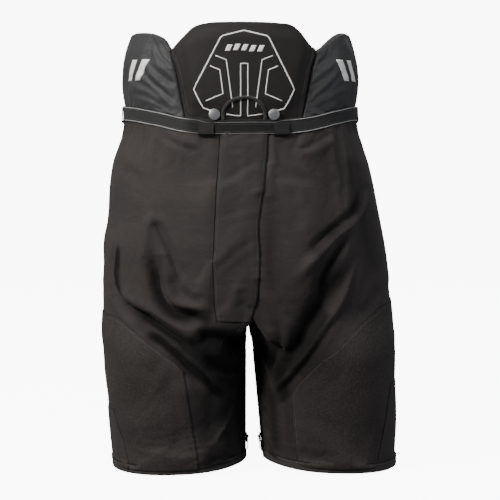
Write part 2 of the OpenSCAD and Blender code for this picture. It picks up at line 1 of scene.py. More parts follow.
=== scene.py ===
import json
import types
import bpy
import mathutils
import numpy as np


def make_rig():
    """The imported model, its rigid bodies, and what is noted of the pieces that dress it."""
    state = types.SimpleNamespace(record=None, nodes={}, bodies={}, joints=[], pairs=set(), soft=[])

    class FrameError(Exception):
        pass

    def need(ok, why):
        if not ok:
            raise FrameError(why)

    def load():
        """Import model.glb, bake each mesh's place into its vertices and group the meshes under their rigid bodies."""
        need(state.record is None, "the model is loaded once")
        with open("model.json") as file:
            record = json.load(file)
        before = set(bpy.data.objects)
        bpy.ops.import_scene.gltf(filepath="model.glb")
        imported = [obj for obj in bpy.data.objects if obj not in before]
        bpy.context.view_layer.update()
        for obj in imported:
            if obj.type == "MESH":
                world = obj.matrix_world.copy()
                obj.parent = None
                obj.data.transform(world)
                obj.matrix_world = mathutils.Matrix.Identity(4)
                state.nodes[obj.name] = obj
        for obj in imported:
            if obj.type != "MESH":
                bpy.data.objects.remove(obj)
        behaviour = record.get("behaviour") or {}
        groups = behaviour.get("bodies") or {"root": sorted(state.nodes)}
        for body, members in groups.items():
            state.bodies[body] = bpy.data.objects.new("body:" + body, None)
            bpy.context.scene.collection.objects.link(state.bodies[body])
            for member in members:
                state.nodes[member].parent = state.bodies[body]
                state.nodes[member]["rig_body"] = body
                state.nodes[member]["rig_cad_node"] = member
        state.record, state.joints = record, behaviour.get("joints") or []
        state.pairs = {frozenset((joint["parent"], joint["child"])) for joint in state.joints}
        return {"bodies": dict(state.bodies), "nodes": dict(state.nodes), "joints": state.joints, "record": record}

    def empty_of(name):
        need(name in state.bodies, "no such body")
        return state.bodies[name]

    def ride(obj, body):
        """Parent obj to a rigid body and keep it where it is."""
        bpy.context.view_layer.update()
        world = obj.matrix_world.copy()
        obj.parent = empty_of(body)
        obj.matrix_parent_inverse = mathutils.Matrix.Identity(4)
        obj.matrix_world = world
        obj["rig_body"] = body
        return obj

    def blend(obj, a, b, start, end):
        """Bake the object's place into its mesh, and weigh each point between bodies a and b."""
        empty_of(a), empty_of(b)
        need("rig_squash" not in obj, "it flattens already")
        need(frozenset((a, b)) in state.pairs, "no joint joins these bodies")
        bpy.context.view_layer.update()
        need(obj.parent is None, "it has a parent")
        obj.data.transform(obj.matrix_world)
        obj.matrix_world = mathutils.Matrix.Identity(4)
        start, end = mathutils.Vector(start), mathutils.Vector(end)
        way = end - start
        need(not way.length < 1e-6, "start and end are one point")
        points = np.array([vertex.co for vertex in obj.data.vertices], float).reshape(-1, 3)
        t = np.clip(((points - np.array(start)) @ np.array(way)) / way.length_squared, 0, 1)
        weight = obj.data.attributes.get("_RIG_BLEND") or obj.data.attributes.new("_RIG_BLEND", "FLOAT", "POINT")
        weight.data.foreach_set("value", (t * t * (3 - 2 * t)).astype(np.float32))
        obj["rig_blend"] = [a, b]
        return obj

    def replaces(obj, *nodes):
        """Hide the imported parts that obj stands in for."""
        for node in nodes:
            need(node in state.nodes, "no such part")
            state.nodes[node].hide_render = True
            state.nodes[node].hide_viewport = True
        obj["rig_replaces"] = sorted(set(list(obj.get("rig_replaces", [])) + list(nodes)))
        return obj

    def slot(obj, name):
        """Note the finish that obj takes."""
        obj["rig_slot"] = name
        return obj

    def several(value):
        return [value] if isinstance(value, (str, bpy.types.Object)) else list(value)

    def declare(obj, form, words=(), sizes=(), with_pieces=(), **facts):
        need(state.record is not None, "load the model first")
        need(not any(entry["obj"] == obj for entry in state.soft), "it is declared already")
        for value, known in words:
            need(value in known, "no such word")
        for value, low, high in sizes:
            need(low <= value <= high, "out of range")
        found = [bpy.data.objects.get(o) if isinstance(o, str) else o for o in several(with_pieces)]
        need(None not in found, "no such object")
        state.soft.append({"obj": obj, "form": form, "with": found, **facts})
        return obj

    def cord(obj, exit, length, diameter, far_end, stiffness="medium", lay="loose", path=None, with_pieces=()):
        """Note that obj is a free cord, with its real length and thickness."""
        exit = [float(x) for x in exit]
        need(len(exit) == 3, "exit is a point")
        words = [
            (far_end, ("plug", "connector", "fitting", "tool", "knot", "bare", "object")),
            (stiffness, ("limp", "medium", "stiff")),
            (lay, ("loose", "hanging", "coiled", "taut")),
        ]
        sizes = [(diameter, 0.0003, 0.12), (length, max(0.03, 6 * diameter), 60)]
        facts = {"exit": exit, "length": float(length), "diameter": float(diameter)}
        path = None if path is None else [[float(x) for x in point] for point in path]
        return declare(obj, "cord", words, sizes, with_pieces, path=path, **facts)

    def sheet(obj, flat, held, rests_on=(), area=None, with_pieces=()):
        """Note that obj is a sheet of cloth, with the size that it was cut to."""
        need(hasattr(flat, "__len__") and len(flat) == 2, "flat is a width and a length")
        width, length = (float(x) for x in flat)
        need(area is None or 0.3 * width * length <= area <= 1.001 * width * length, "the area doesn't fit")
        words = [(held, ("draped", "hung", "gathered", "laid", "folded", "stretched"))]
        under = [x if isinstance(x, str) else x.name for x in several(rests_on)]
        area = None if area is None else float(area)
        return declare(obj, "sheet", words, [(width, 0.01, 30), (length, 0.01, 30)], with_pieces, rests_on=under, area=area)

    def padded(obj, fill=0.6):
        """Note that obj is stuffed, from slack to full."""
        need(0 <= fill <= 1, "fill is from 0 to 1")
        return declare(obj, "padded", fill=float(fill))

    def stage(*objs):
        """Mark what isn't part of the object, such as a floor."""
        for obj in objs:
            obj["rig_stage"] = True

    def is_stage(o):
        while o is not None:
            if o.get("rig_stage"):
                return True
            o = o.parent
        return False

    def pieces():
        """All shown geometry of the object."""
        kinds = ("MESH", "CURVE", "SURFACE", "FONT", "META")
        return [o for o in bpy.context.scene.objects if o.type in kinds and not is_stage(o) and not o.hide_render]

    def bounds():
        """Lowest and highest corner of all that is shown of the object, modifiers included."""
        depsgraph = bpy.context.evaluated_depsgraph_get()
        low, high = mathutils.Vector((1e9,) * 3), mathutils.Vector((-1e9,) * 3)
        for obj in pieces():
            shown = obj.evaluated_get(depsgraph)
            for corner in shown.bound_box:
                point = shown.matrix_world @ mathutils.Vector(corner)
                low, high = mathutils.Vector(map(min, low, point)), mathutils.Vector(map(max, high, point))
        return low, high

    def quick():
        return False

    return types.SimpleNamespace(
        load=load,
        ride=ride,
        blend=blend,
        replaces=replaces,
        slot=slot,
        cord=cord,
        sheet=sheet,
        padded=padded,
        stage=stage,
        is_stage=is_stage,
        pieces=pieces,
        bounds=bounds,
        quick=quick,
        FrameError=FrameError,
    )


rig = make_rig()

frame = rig.load()

import json
import math

import bmesh
import bpy
import numpy as np
from mathutils import Vector

cad_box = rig.bounds()

# ---------------------------------------------------------------- camera
CAMERA_AZIMUTH, CAMERA_ELEVATION, CAMERA_DISTANCE = -2.7, 3.0, 2.37
CAMERA_TARGET = (0.0138, 0.0, -0.1908)
LENS, SENSOR_WIDTH = 120.0, 36.0

camera = bpy.data.objects.new("camera", bpy.data.cameras.new("camera"))
bpy.context.scene.collection.objects.link(camera)
camera.data.lens = LENS
camera.data.sensor_width = SENSOR_WIDTH
camera.data.clip_end = 60.0
az, el = math.radians(CAMERA_AZIMUTH), math.radians(CAMERA_ELEVATION)
ahead = Vector((-math.sin(az) * math.cos(el), math.cos(az) * math.cos(el), -math.sin(el)))
camera.location = Vector(CAMERA_TARGET) - ahead * CAMERA_DISTANCE
camera.rotation_euler = ahead.to_track_quat("-Z", "Y").to_euler()
bpy.context.scene.camera = camera

# ---------------------------------------------------------------- sizes in millimetres, as in the CAD part
MM = 0.001
HEM_Z, CROTCH_Z, SEAT_BOTTOM = -494.0, -283.0, -262.0
SPINE_TOP, NOTCH_TOP = 123.0, 85.0
LEAN, BELT_DIP, FRONT_DIP = 20.0, 19.0, 6.0
BELT_W, BELT_T, BELT_IN = 20.0, 2.5, 0.9
PAD_RISE, HEM_RISE = 12.5, 11.0
BACK_POWER, FRONT_POWER, LEG_POWER = 2.2, 2.5, 2.3
GAP_TOP, GAP_HEM, INSEAM = 3.0, 13.0, 120.0
FLY_HALF, FLY_BOTTOM = 9.0, -118.0
FOAM_OUT, FOAM_IN, LINER_IN = 7.5, 17.5, 18.7
ZIP_TOP, ZIP_LENGTH = -331.0, 148.0
ZIP_GAP, SEAM_GAP = 5.0, 0.02      # degrees of turn that a leg's cloth leaves open at the zip, and above it
OUTER = ((HEM_Z, 200), (-428, 202), (-336, 206), (-262, 206), (-200, 201), (-144, 194),
         (-74, 182), (-27, 168), (0, 162), (40, 163), (77, 160), (125, 147))
BACK = ((HEM_Z, -107), (-430, -113), (-360, -122), (-283, -136), (-215, -145),
        (-150, -146), (-60, -133), (0, -121), (60, -120), (125, -117))
FRONT = ((HEM_Z, 105), (-430, 111), (-360, 119), (-283, 127), (-215, 131),
         (-150, 130), (-60, 123), (0, 116), (60, 116), (125, 114))


# ---------------------------------------------------------------- curves and surfaces
def smooth(x):
    t = np.clip(x, 0, 1)
    return t * t * (3 - 2 * t)


def between(v, low, high, fade):
    """1 from low to high, fading to 0 outside them."""
    return smooth((v - low + fade) / fade) * smooth((high + fade - v) / fade)


def mix(a, b, t):
    return a + (b - a) * t


def rounded(d, radius):
    """How far a rounded edge has risen, 0 to 1, at a distance d from the rim."""
    return np.sqrt(1 - (1 - np.clip(d / radius, 0, 1)) ** 2)


def unit(v):
    return v / np.maximum(np.linalg.norm(v, axis=-1, keepdims=True), 1e-9)


def lengths(points, axis=0):
    """How far along its row each point lies."""
    steps = np.linalg.norm(np.diff(points, axis=axis), axis=-1)
    return np.insert(np.cumsum(steps, axis=axis), 0, 0, axis=axis)


def same_shape(*values):
    return np.broadcast_arrays(*(np.asarray(v, float) for v in values))


def through(x, table):
    """A smooth curve through the points of a table."""
    xs, ys = np.array(table, float).T
    x = np.asarray(x, float)
    i = np.clip(np.searchsorted(xs, x, side="right") - 1, 0, len(xs) - 2)
    slope = np.empty(len(xs))
    slope[0] = (ys[1] - ys[0]) / (xs[1] - xs[0])
    slope[-1] = (ys[-1] - ys[-2]) / (xs[-1] - xs[-2])
    slope[1:-1] = (ys[2:] - ys[:-2]) / (xs[2:] - xs[:-2])
    h = xs[i + 1] - xs[i]
    s = np.clip((x - xs[i]) / h, 0, 1)
    return ((1 + 2 * s) * (1 - s) ** 2 * ys[i] + s * (1 - s) ** 2 * h * slope[i]
            + s ** 2 * (3 - 2 * s) * ys[i + 1] - s ** 2 * (1 - s) * h * slope[i + 1])


def spow(x, p):
    return np.sign(x) * np.abs(x) ** p


def sind(x):
    return np.sin(np.radians(x))


def cosd(x):
    return np.cos(np.radians(x))


def sway(z):
    """How far the garment leans to its right below the waist."""
    return LEAN * np.maximum(0, -z - 50) / (-HEM_Z - 50)


def section_power(u):
    """How square the body's section is, behind or in front."""
    return np.where(np.abs(u) > 90, FRONT_POWER, BACK_POWER)


def torso(u, z, off=0.0):
    """A point on the body: u is 0 at the back, 90 on the wearer's right, 180 at the front."""
    u, z, off = same_shape(u, z, off)
    p = 2 / section_power(u)
    a = through(z, OUTER) + off
    yb, yf = through(z, BACK) - off, through(z, FRONT) + off
    x, y = a * spow(sind(u), p) + sway(z), (yf + yb) / 2 - (yf - yb) / 2 * spow(cosd(u), p)
    return np.stack([x, y, z], -1)


def turned(x, z, power):
    """The turn from the middle of the back or the front out to a place x."""
    share_out = np.clip(np.abs(x) / through(z, OUTER), 0, 1)
    return np.degrees(np.arcsin(share_out ** (power / 2)))


def back_angle(x, z):
    """The turn round the body of a place x beside the middle of the back."""
    return np.sign(x) * turned(x, z, BACK_POWER)


def front_angle(x, z):
    return np.sign(x) * (180 - turned(x, z, FRONT_POWER))


def share(u):
    """How far out from the middle a turn lies, as a share of the half width."""
    return np.abs(sind(u)) ** (2 / section_power(u))


def belt_z(u):
    """The height of the belt's middle."""
    back = -BELT_DIP * (1 - smooth((share(u) - 0.3) / 0.8) * 1.14)
    return np.where(np.abs(u) > 90, -FRONT_DIP * (1 - share(u)), back)


def inner_x(z):
    """How far each leg's inner side lies from the middle of the gap between the legs."""
    return mix(GAP_TOP, GAP_HEM, np.clip((CROTCH_Z - z) / (CROTCH_Z - HEM_Z), 0, 1))


def leg(side, f, z, off=0.0):
    """A point on a leg: f is 0 on its outer side, 90 at the front, 180 between the legs, -90 behind."""
    f, z, off = same_shape(f, z, off)
    yb, yf = through(z, BACK) - off, through(z, FRONT) + off
    outer = np.abs(f) <= INSEAM
    flat = 0.3 - off
    p = torso(90 + 90 * f / INSEAM, z, off)
    g = np.where(f > 0, f, f + 360)
    hx = np.where(outer, np.maximum(flat, p[..., 0] - sway(z)), flat)
    hy = np.where(outer, p[..., 1], mix(yf, yb, (g - INSEAM) / (360 - 2 * INSEAM)))
    xo, xi = through(z, OUTER) + off, inner_x(z) - off
    rx = (xo + xi) / 2 + (xo - xi) / 2 * spow(cosd(f), 2 / LEG_POWER)
    ry = (yf + yb) / 2 + (yf - yb) / 2 * spow(sind(f), 2 / LEG_POWER)
    w = smooth((SEAT_BOTTOM - z) / 75)
    return np.stack([side * mix(hx, rx, w) + sway(z), mix(hy, ry, w), z], -1)


def fly_half(z):
    """Half the width of the fly's opening."""
    return 0.2 + FLY_HALF * smooth((z - FLY_BOTTOM) / 12)


def half(side, f, z, off=0.0):
    """The outer fabric of one side, from hem to waist, open along the fly and the zip."""
    f, z = same_shape(f, z)
    front = np.abs(front_angle(fly_half(z), z)) - 90
    u = 90 + np.where(f > 0, front, 90.0) * np.clip(f, -INSEAM, INSEAM) / INSEAM
    slit = f * (1 - (SEAM_GAP + ZIP_GAP * smooth((ZIP_TOP + 6 - z) / 14)) / 180)
    return np.where((z > SEAT_BOTTOM)[..., None], torso(side * u, z, off), leg(side, slit, z, off))


def hem(f):
    """The height of a leg's lower edge."""
    return HEM_Z + HEM_RISE * ((1 - cosd(f)) / 2) ** 3


def seat_turn(f):
    """The turn round the seat that lies above a turn f round a leg."""
    return 90 + 90 * np.clip(f, -INSEAM, INSEAM) / INSEAM


def turn_at(side, x, z, face=-1):
    """The turn f round one side where the surface passes x, on the back (face -1) or front (1)."""
    x, z = same_shape(x, z)
    lo = np.where(z > SEAT_BOTTOM, INSEAM, 180.0) * np.ones_like(x)
    hi = np.zeros_like(x)
    for _ in range(24):
        mid = (lo + hi) / 2
        inward = side * (half(side, face * mid, z)[..., 0] - x) < 0
        lo, hi = np.where(inward, mid, lo), np.where(inward, hi, mid)
    return face * (lo + hi) / 2


def normals(grid):
    """Unit normals of a grid of points."""
    return unit(np.cross(np.gradient(grid, axis=1), np.gradient(grid, axis=0)))


def sweep_route(points, steps=12):
    """A smooth route through given points."""
    p = np.array(points, float)
    p = np.vstack([2 * p[0] - p[1], p, 2 * p[-1] - p[-2]])
    out = []
    for i in range(1, len(p) - 2):
        for t in np.linspace(0, 1, steps, endpoint=False):
            out.append(0.5 * (2 * p[i] + (p[i + 1] - p[i - 1]) * t
                              + (2 * p[i - 1] - 5 * p[i] + 4 * p[i + 1] - p[i + 2]) * t ** 2
                              + (3 * p[i] - p[i - 1] - 3 * p[i + 1] + p[i + 2]) * t ** 3))
    out.append(p[-2])
    return np.array(out)


# ---------------------------------------------------------------- meshes
def new_object(name, verts, faces, uv=None):
    """A mesh object from points in millimetres. uv is one pair for each point, in metres."""
    mesh = bpy.data.meshes.new(name)
    mesh.from_pydata((np.asarray(verts) * MM).tolist(), [], [tuple(int(i) for i in f) for f in faces])
    mesh.validate()
    if uv is not None:
        layer = mesh.uv_layers.new(name="cloth")
        loops = np.zeros(len(mesh.loops), np.int32)
        mesh.loops.foreach_get("vertex_index", loops)
        layer.data.foreach_set("uv", np.asarray(uv, np.float32)[loops].ravel())
    mesh.shade_smooth()
    obj = bpy.data.objects.new(name, mesh)
    bpy.context.scene.collection.objects.link(obj)
    return obj


def apply_modifiers(obj):
    dg = bpy.context.evaluated_depsgraph_get()
    mesh = bpy.data.meshes.new_from_object(obj.evaluated_get(dg))
    obj.modifiers.clear()
    old = obj.data
    obj.data = mesh
    mesh.name = obj.name
    bpy.data.meshes.remove(old)
    obj.data.shade_smooth()


def smoother(obj):
    sub = obj.modifiers.new("smooth", "SUBSURF")
    sub.levels = sub.render_levels = 1
    return sub


def thicken(obj, thickness, levels):
    """Smooths a sheet where levels is 1, and gives it real thickness, in millimetres."""
    if levels:
        smoother(obj).boundary_smooth = "PRESERVE_CORNERS"
    solid = obj.modifiers.new("thick", "SOLIDIFY")
    solid.thickness = thickness * MM
    solid.offset = -1.0
    solid.use_even_offset = False
    apply_modifiers(obj)


def whole_cells(there):
    """Which cells of a grid have all their four points there."""
    return there[:-1, :-1] & there[:-1, 1:] & there[1:, :-1] & there[1:, 1:]


def grid_faces(rows, cols, ring=False, keep=None, flip=False):
    faces = []
    for j in range(rows - 1):
        for i in range(cols if ring else cols - 1):
            k = (i + 1) % cols
            if keep is None or keep[j, i]:
                face = (j * cols + i, j * cols + k, (j + 1) * cols + k, (j + 1) * cols + i)
                faces.append(face[::-1] if flip else face)
    return faces


def arc_uv(grid):
    """Cloth coordinates in metres, from the lengths of a grid's middle row and column."""
    u = lengths(grid[grid.shape[0] // 2]) * MM
    v = lengths(grid[:, grid.shape[1] // 2]) * MM
    return np.stack(np.meshgrid(u, v), -1).reshape(-1, 2)


def add_shade(obj, values):
    """Marks how much each point of a piece lies in shade, 0 to 1."""
    layer = obj.data.attributes.new("shade", "FLOAT", "POINT")
    layer.data.foreach_set("value", values.astype(np.float32))


def sheet_object(name, grid, keep=None, flip=False, thickness=None, levels=1, shade=None):
    """A sheet of cloth from a grid of points, with only the cells that keep names. shade marks where its colour is
    darkened as painted shade.
    """
    obj = new_object(name, grid.reshape(-1, 3), grid_faces(*grid.shape[:2], False, keep, flip), arc_uv(grid))
    if shade is not None:
        add_shade(obj, shade.ravel())
    if keep is not None:
        edit_mesh(obj, drop_loose)
    if thickness:
        thicken(obj, thickness, levels)
    return obj


def edit_mesh(obj, change):
    bm = bmesh.new()
    bm.from_mesh(obj.data)
    change(bm)
    bm.to_mesh(obj.data)
    bm.free()
    return obj


def drop_loose(bm):
    bmesh.ops.delete(bm, geom=[v for v in bm.verts if not v.link_faces], context="VERTS")


def face_outward(bm):
    bmesh.ops.recalc_face_normals(bm, faces=bm.faces)


def ring_ends(first, count, last):
    """The two faces that close a tube whose first and last rings of points start at these numbers."""
    return [[first + k for k in range(count)][::-1], [last + k for k in range(count)]]


def tube_object(name, routes, radius, sides=8, flat=1.0, up=None):
    """Round or flattened tubes along routes, as one object. up gives the one route's outward directions."""
    t = 2 * math.pi * np.arange(sides) / sides
    verts, faces, uv = [], [], []
    for route in routes:
        p = np.asarray(route, float)
        d = unit(np.gradient(p, axis=0))
        steep = np.abs(d[:, 2:3]) > 0.8
        ref = np.where(steep, [[0, 1, 0]], [[0, 0, 1]]) if up is None else np.asarray(up, float)
        a = unit(np.cross(d, ref))
        b = np.cross(a, d)
        r = np.broadcast_to(np.asarray(radius, float), (len(p),))[:, None]
        ring = np.cos(t)[:, None] * a[:, None] + flat * np.sin(t)[:, None] * b[:, None]
        base = len(verts) * sides
        verts.extend(p[:, None] + r[..., None] * ring)
        uv.extend(np.stack(np.broadcast_arrays(r * MM * t, lengths(p)[:, None] * MM), -1))
        faces += [tuple(base + i for i in face) for face in grid_faces(len(p), sides, ring=True)]
        faces += ring_ends(base, sides, base + (len(p) - 1) * sides)
    points = np.array(verts).reshape(-1, 3)
    return edit_mesh(new_object(name, points, faces, np.array(uv).reshape(-1, 2)), face_outward)


def join(name, objects):
    """Joins mesh objects into one, keeping their materials."""
    with bpy.context.temp_override(active_object=objects[0], selected_objects=objects,
                                   selected_editable_objects=objects, object=objects[0]):
        bpy.ops.object.join()
    objects[0].name = name
    objects[0].data.name = name
    return objects[0]


# ---------------------------------------------------------------- materials
def shader(name, color, rough=0.7, metal=0.0, sheen=0.0, specular=0.5):
    mat = bpy.data.materials.new(name)
    mat.use_nodes = True
    bsdf = mat.node_tree.nodes["Principled BSDF"]
    for key, value in {"Base Color": (*color, 1), "Roughness": rough, "Metallic": metal,
                       "Sheen Weight": sheen,
                       "Sheen Roughness": 0.5, "Coat Weight": 0.0, "Specular IOR Level": specular}.items():
        bsdf.inputs[key].default_value = value
    return mat, mat.node_tree, bsdf


class Maker:
    """Adds nodes to a material with little writing."""

    def __init__(self, tree, source="UV"):
        self.tree = tree
        self.coord = self.node("TexCoord").outputs[source]

    def node(self, kind, **inputs):
        """A new shader node with some inputs linked or set. _ in an input's name stands for a space."""
        node = self.tree.nodes.new("ShaderNode" + kind)
        for key, value in inputs.items():
            self.link(value, node.inputs[key.replace("_", " ")])
        return node

    def link(self, value, socket):
        if isinstance(value, bpy.types.NodeSocket):
            self.tree.links.new(value, socket)
        else:
            socket.default_value = value

    def math(self, op, a, b=0.0, c=0.0):
        node = self.node("Math")
        node.operation = op
        for value, socket in zip((a, b, c), node.inputs):
            self.link(value, socket)
        return node.outputs[0]

    def noise(self, scale, detail=2.0, rough=0.5, stretch=(1, 1, 1), distortion=0.0):
        place = self.node("Mapping", Scale=tuple(scale * s for s in stretch), Vector=self.coord)
        return self.node("TexNoise", Scale=1.0, Detail=detail, Roughness=rough, Distortion=distortion,
                         Vector=place.outputs[0]).outputs["Fac"]

    def weave(self, pitch, slant=0.0):
        """Over and under threads with this pitch in metres: 0 between the threads, 1 on top of them."""
        u, v, _ = self.node("SeparateXYZ", Vector=self.coord).outputs
        if slant:
            v = self.math("MULTIPLY_ADD", u, slant, v)
        a = self.math("SINE", self.math("MULTIPLY", u, 2 * math.pi / pitch))
        b = self.math("SINE", self.math("MULTIPLY", v, 2 * math.pi / pitch))
        return self.math("MULTIPLY_ADD", self.math("MULTIPLY", a, b), 0.5, 0.5)

    def ramp(self, value, stops):
        node = self.node("ValToRGB")
        self.link(value, node.inputs[0])
        for element, (position, color) in zip(node.color_ramp.elements, stops):
            element.position = position
            element.color = (*color, 1)
        for position, color in stops[2:]:
            node.color_ramp.elements.new(position).color = (*color, 1)
        return node.outputs[0]

    def remap(self, value, low, high, to_low, to_high):
        return self.node("MapRange", Value=value, From_Min=low, From_Max=high, To_Min=to_low,
                         To_Max=to_high).outputs[0]

    def darker(self, color, most):
        """A colour made darker where the mesh is marked as lying in the shade of a fold."""
        mark = self.node("Attribute")
        mark.attribute_name = "shade"
        scale = self.node("VectorMath")
        scale.operation = "SCALE"
        self.link(color, scale.inputs[0])
        self.link(self.remap(mark.outputs["Fac"], 0.0, 1.0, 1.0, 1.0 - most), scale.inputs["Scale"])
        return scale.outputs[0]

    def bump(self, height, strength, distance, under=None):
        node = self.node("Bump", Strength=strength, Distance=distance, Height=height)
        if under:
            self.link(under, node.inputs["Normal"])
        return node.outputs[0]


def tint(color, factor):
    return tuple(min(1.0, c * factor) for c in color)


def fabric(name, color, pitch=0.0011, grain=0.5, contrast=0.35, rough=0.78, sheen=0.25, bump=0.35, slant=0.0,
           specular=0.35, fleck=0.25, crumple=0.0, shaded=False):
    """Woven cloth: threads, uneven grain, slow changes of tone, and small creases if it's crumpled. If shaded, its
    colour is darkened by painted shade where the mesh's shade attribute marks it.
    """
    mat, tree, bsdf = shader(name, color, rough, sheen=sheen, specular=specular)
    m = Maker(tree)
    mottle = 0.25
    threads = m.weave(pitch, slant)
    fibre = m.noise(1 / (pitch * 0.9), 3.0, 0.6)
    patches = m.noise(14.0, 4.0, 0.6)
    height = m.math("MULTIPLY_ADD", fibre, grain, m.math("MULTIPLY", threads, 1 - grain))
    flecks = m.noise(1 / (pitch * 2.4), 3.0, 0.7)
    height = m.math("MULTIPLY_ADD", flecks, fleck, m.math("MULTIPLY", height, 1 - fleck))
    tone = m.math("MULTIPLY_ADD", patches, mottle, m.math("MULTIPLY", height, 1 - mottle))
    middle, spread = (0.5, color), 0.28
    cloth = m.ramp(tone, [(0.5 - spread, tint(color, 1 - contrast)), middle,
                          (0.5 + spread, tint(color, 1 + contrast * 1.2))])
    m.link(m.darker(cloth, 0.93) if shaded else cloth, bsdf.inputs["Base Color"])
    m.link(m.remap(tone, 0.2, 0.8, min(1, rough + 0.08), rough - 0.08), bsdf.inputs["Roughness"])
    creases = m.bump(m.noise(30.0, 4.0, 0.55, (1, 1.5, 1), 0.8), crumple, 0.004) if crumple else None
    m.link(m.bump(height, bump, pitch * 0.5, creases), bsdf.inputs["Normal"])
    return mat


def plain(name, color, rough=0.45, metal=0.0, scale=900.0, bump=0.08, contrast=0.12):
    """Moulded plastic, metal or foam: fine grain, faint scuffs and uneven gloss."""
    mat, tree, bsdf = shader(name, color, rough, metal)
    m = Maker(tree, "Object")
    grain = m.noise(scale, 3.0, 0.6)
    scuffs = m.noise(scale * 0.08, 4.0, 0.65, stretch=(1, 1, 3))
    tone = m.math("MULTIPLY_ADD", grain, 0.4, m.math("MULTIPLY", scuffs, 0.6))
    m.link(m.ramp(tone, [(0.25, tint(color, 1 - contrast)), (0.75, tint(color, 1 + contrast))]),
           bsdf.inputs["Base Color"])
    m.link(m.remap(tone, 0.25, 0.75, max(0.03, rough - 0.06), min(1, rough + 0.12)), bsdf.inputs["Roughness"])
    m.link(m.bump(grain, bump, 0.0002), bsdf.inputs["Normal"])
    return mat


SHELL = (0.035, 0.0302, 0.0290)
# shaded=True darkens a material's colour by the painted shade attribute (shell, belt webbing, piping)
MATS = {
    "shell": fabric("shell_oxford", SHELL, pitch=0.0012, contrast=0.45, sheen=0.05, specular=0.2, bump=0.5,
                    fleck=0.35, crumple=0.35, shaded=True),
    "panel": fabric("panel_oxford", (0.031, 0.0272, 0.0272), pitch=0.0011, contrast=0.4, sheen=0.05,
                    specular=0.2, bump=0.45, fleck=0.3, crumple=0.3),
    "wear": fabric("wear_cordura", (0.032, 0.028, 0.0262), pitch=0.0017, contrast=0.85, grain=0.7, sheen=0.04,
                   specular=0.2, bump=0.9, fleck=0.55, crumple=0.15),
    "hem": fabric("hem_nylon", (0.040, 0.0352, 0.0345), pitch=0.0009, contrast=0.25, sheen=0.05,
                  specular=0.25),
    "kidney": fabric("kidney_taffeta", (0.035, 0.0357, 0.0375), pitch=0.0008, contrast=0.25, rough=0.6,
                     sheen=0.06, bump=0.25, specular=0.28, crumple=0.45),
    "spine": fabric("spine_coated", (0.0165, 0.0150, 0.0140), pitch=0.0009, contrast=0.3, rough=0.7,
                    sheen=0.03, bump=0.35, specular=0.22),
    "lining": fabric("lining_tricot", (0.50, 0.47, 0.045), pitch=0.0012, contrast=0.25, rough=0.85,
                     sheen=0.4),
    "webbing": fabric("belt_webbing", (0.024, 0.0245, 0.025), pitch=0.0021, contrast=0.45, grain=0.35,
                      rough=0.7, sheen=0.06, specular=0.25, bump=0.7, shaded=True),
    "black_webbing": fabric("loop_webbing", (0.013, 0.0125, 0.0125),
                            pitch=0.0019, contrast=0.5, grain=0.35, rough=0.68, sheen=0.05, specular=0.2,
                            bump=0.7),
    "piping": fabric("piping_cord", (0.34, 0.35, 0.35), pitch=0.0010, contrast=0.3, rough=0.75, bump=0.4,
                     shaded=True),
    "cord": fabric("loop_cord", (0.010, 0.010, 0.0105), pitch=0.0018, contrast=0.6, grain=0.3, rough=0.6,
                   bump=0.9, slant=1.0),
    "lace": fabric("lace_cotton", (0.66, 0.64, 0.58), pitch=0.0014, contrast=0.3, rough=0.85, bump=0.7,
                   slant=1.0),
    "tongue": fabric("tongue_nylon", (0.022, 0.021, 0.021), pitch=0.0010, contrast=0.3),
    # painted shadow: near-black cord colour for the shade in seam grooves
    "seam": fabric("seam_shadow", (0.006, 0.006, 0.006), pitch=0.0008, contrast=0.3, rough=0.9, sheen=0.0),
    "thread": fabric("seam_thread", (0.055, 0.050, 0.048), pitch=0.0006, contrast=0.3, rough=0.6),
    "print": plain("silver_print", (0.86, 0.86, 0.84), rough=0.42, metal=0.0, scale=1400.0, contrast=0.10),
    "chrome": plain("button_chrome", (0.90, 0.91, 0.92), rough=0.26, metal=1.0, scale=300.0, bump=0.02,
                    contrast=0.05),
    "eyelet": plain("eyelet_metal", (0.30, 0.30, 0.31), rough=0.3, metal=1.0, scale=900.0, contrast=0.15),
    "steel": plain("pin_steel", (0.45, 0.46, 0.48), rough=0.28, metal=1.0, scale=900.0),
    "buckle": plain("buckle_acetal", (0.016, 0.016, 0.017), rough=0.42, scale=1500.0, bump=0.15),
    "plate": plain("guard_plastic", (0.020, 0.020, 0.022), rough=0.5, scale=700.0, bump=0.2),
    "foam": plain("closed_foam", (0.09, 0.09, 0.10), rough=0.9, scale=1100.0, bump=0.6, contrast=0.3),
    "zip_metal": plain("zip_metal", (0.016, 0.016, 0.017), rough=0.45, metal=0.0, scale=900.0),
    "zip_tape": fabric("zip_tape", (0.014, 0.014, 0.0145), pitch=0.0010, contrast=0.4, bump=0.5),
    "zip_teeth": plain("zip_teeth", (0.018, 0.018, 0.019), rough=0.4, scale=1500.0),
}


def dress(obj, *names):
    obj.data.materials.clear()
    for name in names:
        obj.data.materials.append(MATS[name])


# ---------------------------------------------------------------- grids of cloth
def thinner(row):
    """A column of grid values with one more between each two, on a smooth curve."""
    p = np.concatenate([2 * row[:1] - row[1:2], row, 2 * row[-1:] - row[-2:-1]])
    out = np.empty((2 * len(row) - 1, *row.shape[1:]))
    out[0::2] = row
    out[1::2] = (9 * (p[1:-2] + p[2:-1]) - p[:-3] - p[3:]) / 16
    return out


def finer(grid):
    return thinner(thinner(grid).swapaxes(0, 1)).swapaxes(0, 1)


def edge_steps(length, middle=5.0, fine=(0, 0.5, 1.2, 2.2, 3.4, 4.8, 6.4, 8.2, 10.5, 13.5)):
    """Places from 0 to 1 along a length in millimetres, close together near both ends."""
    fine = np.array(fine)
    count = max(2, round((length - 2 * fine[-1]) / middle))
    middle_steps = np.linspace(fine[-1], length - fine[-1], count + 1)
    return np.concatenate([fine[:-1], middle_steps, length - fine[:-1][::-1]]) / length


def nearest_rim(S, T, width, height):
    """How far each place of a grid lies from its nearest edge."""
    return np.minimum(np.minimum(S, 1 - S) * width, np.minimum(T, 1 - T) * height)


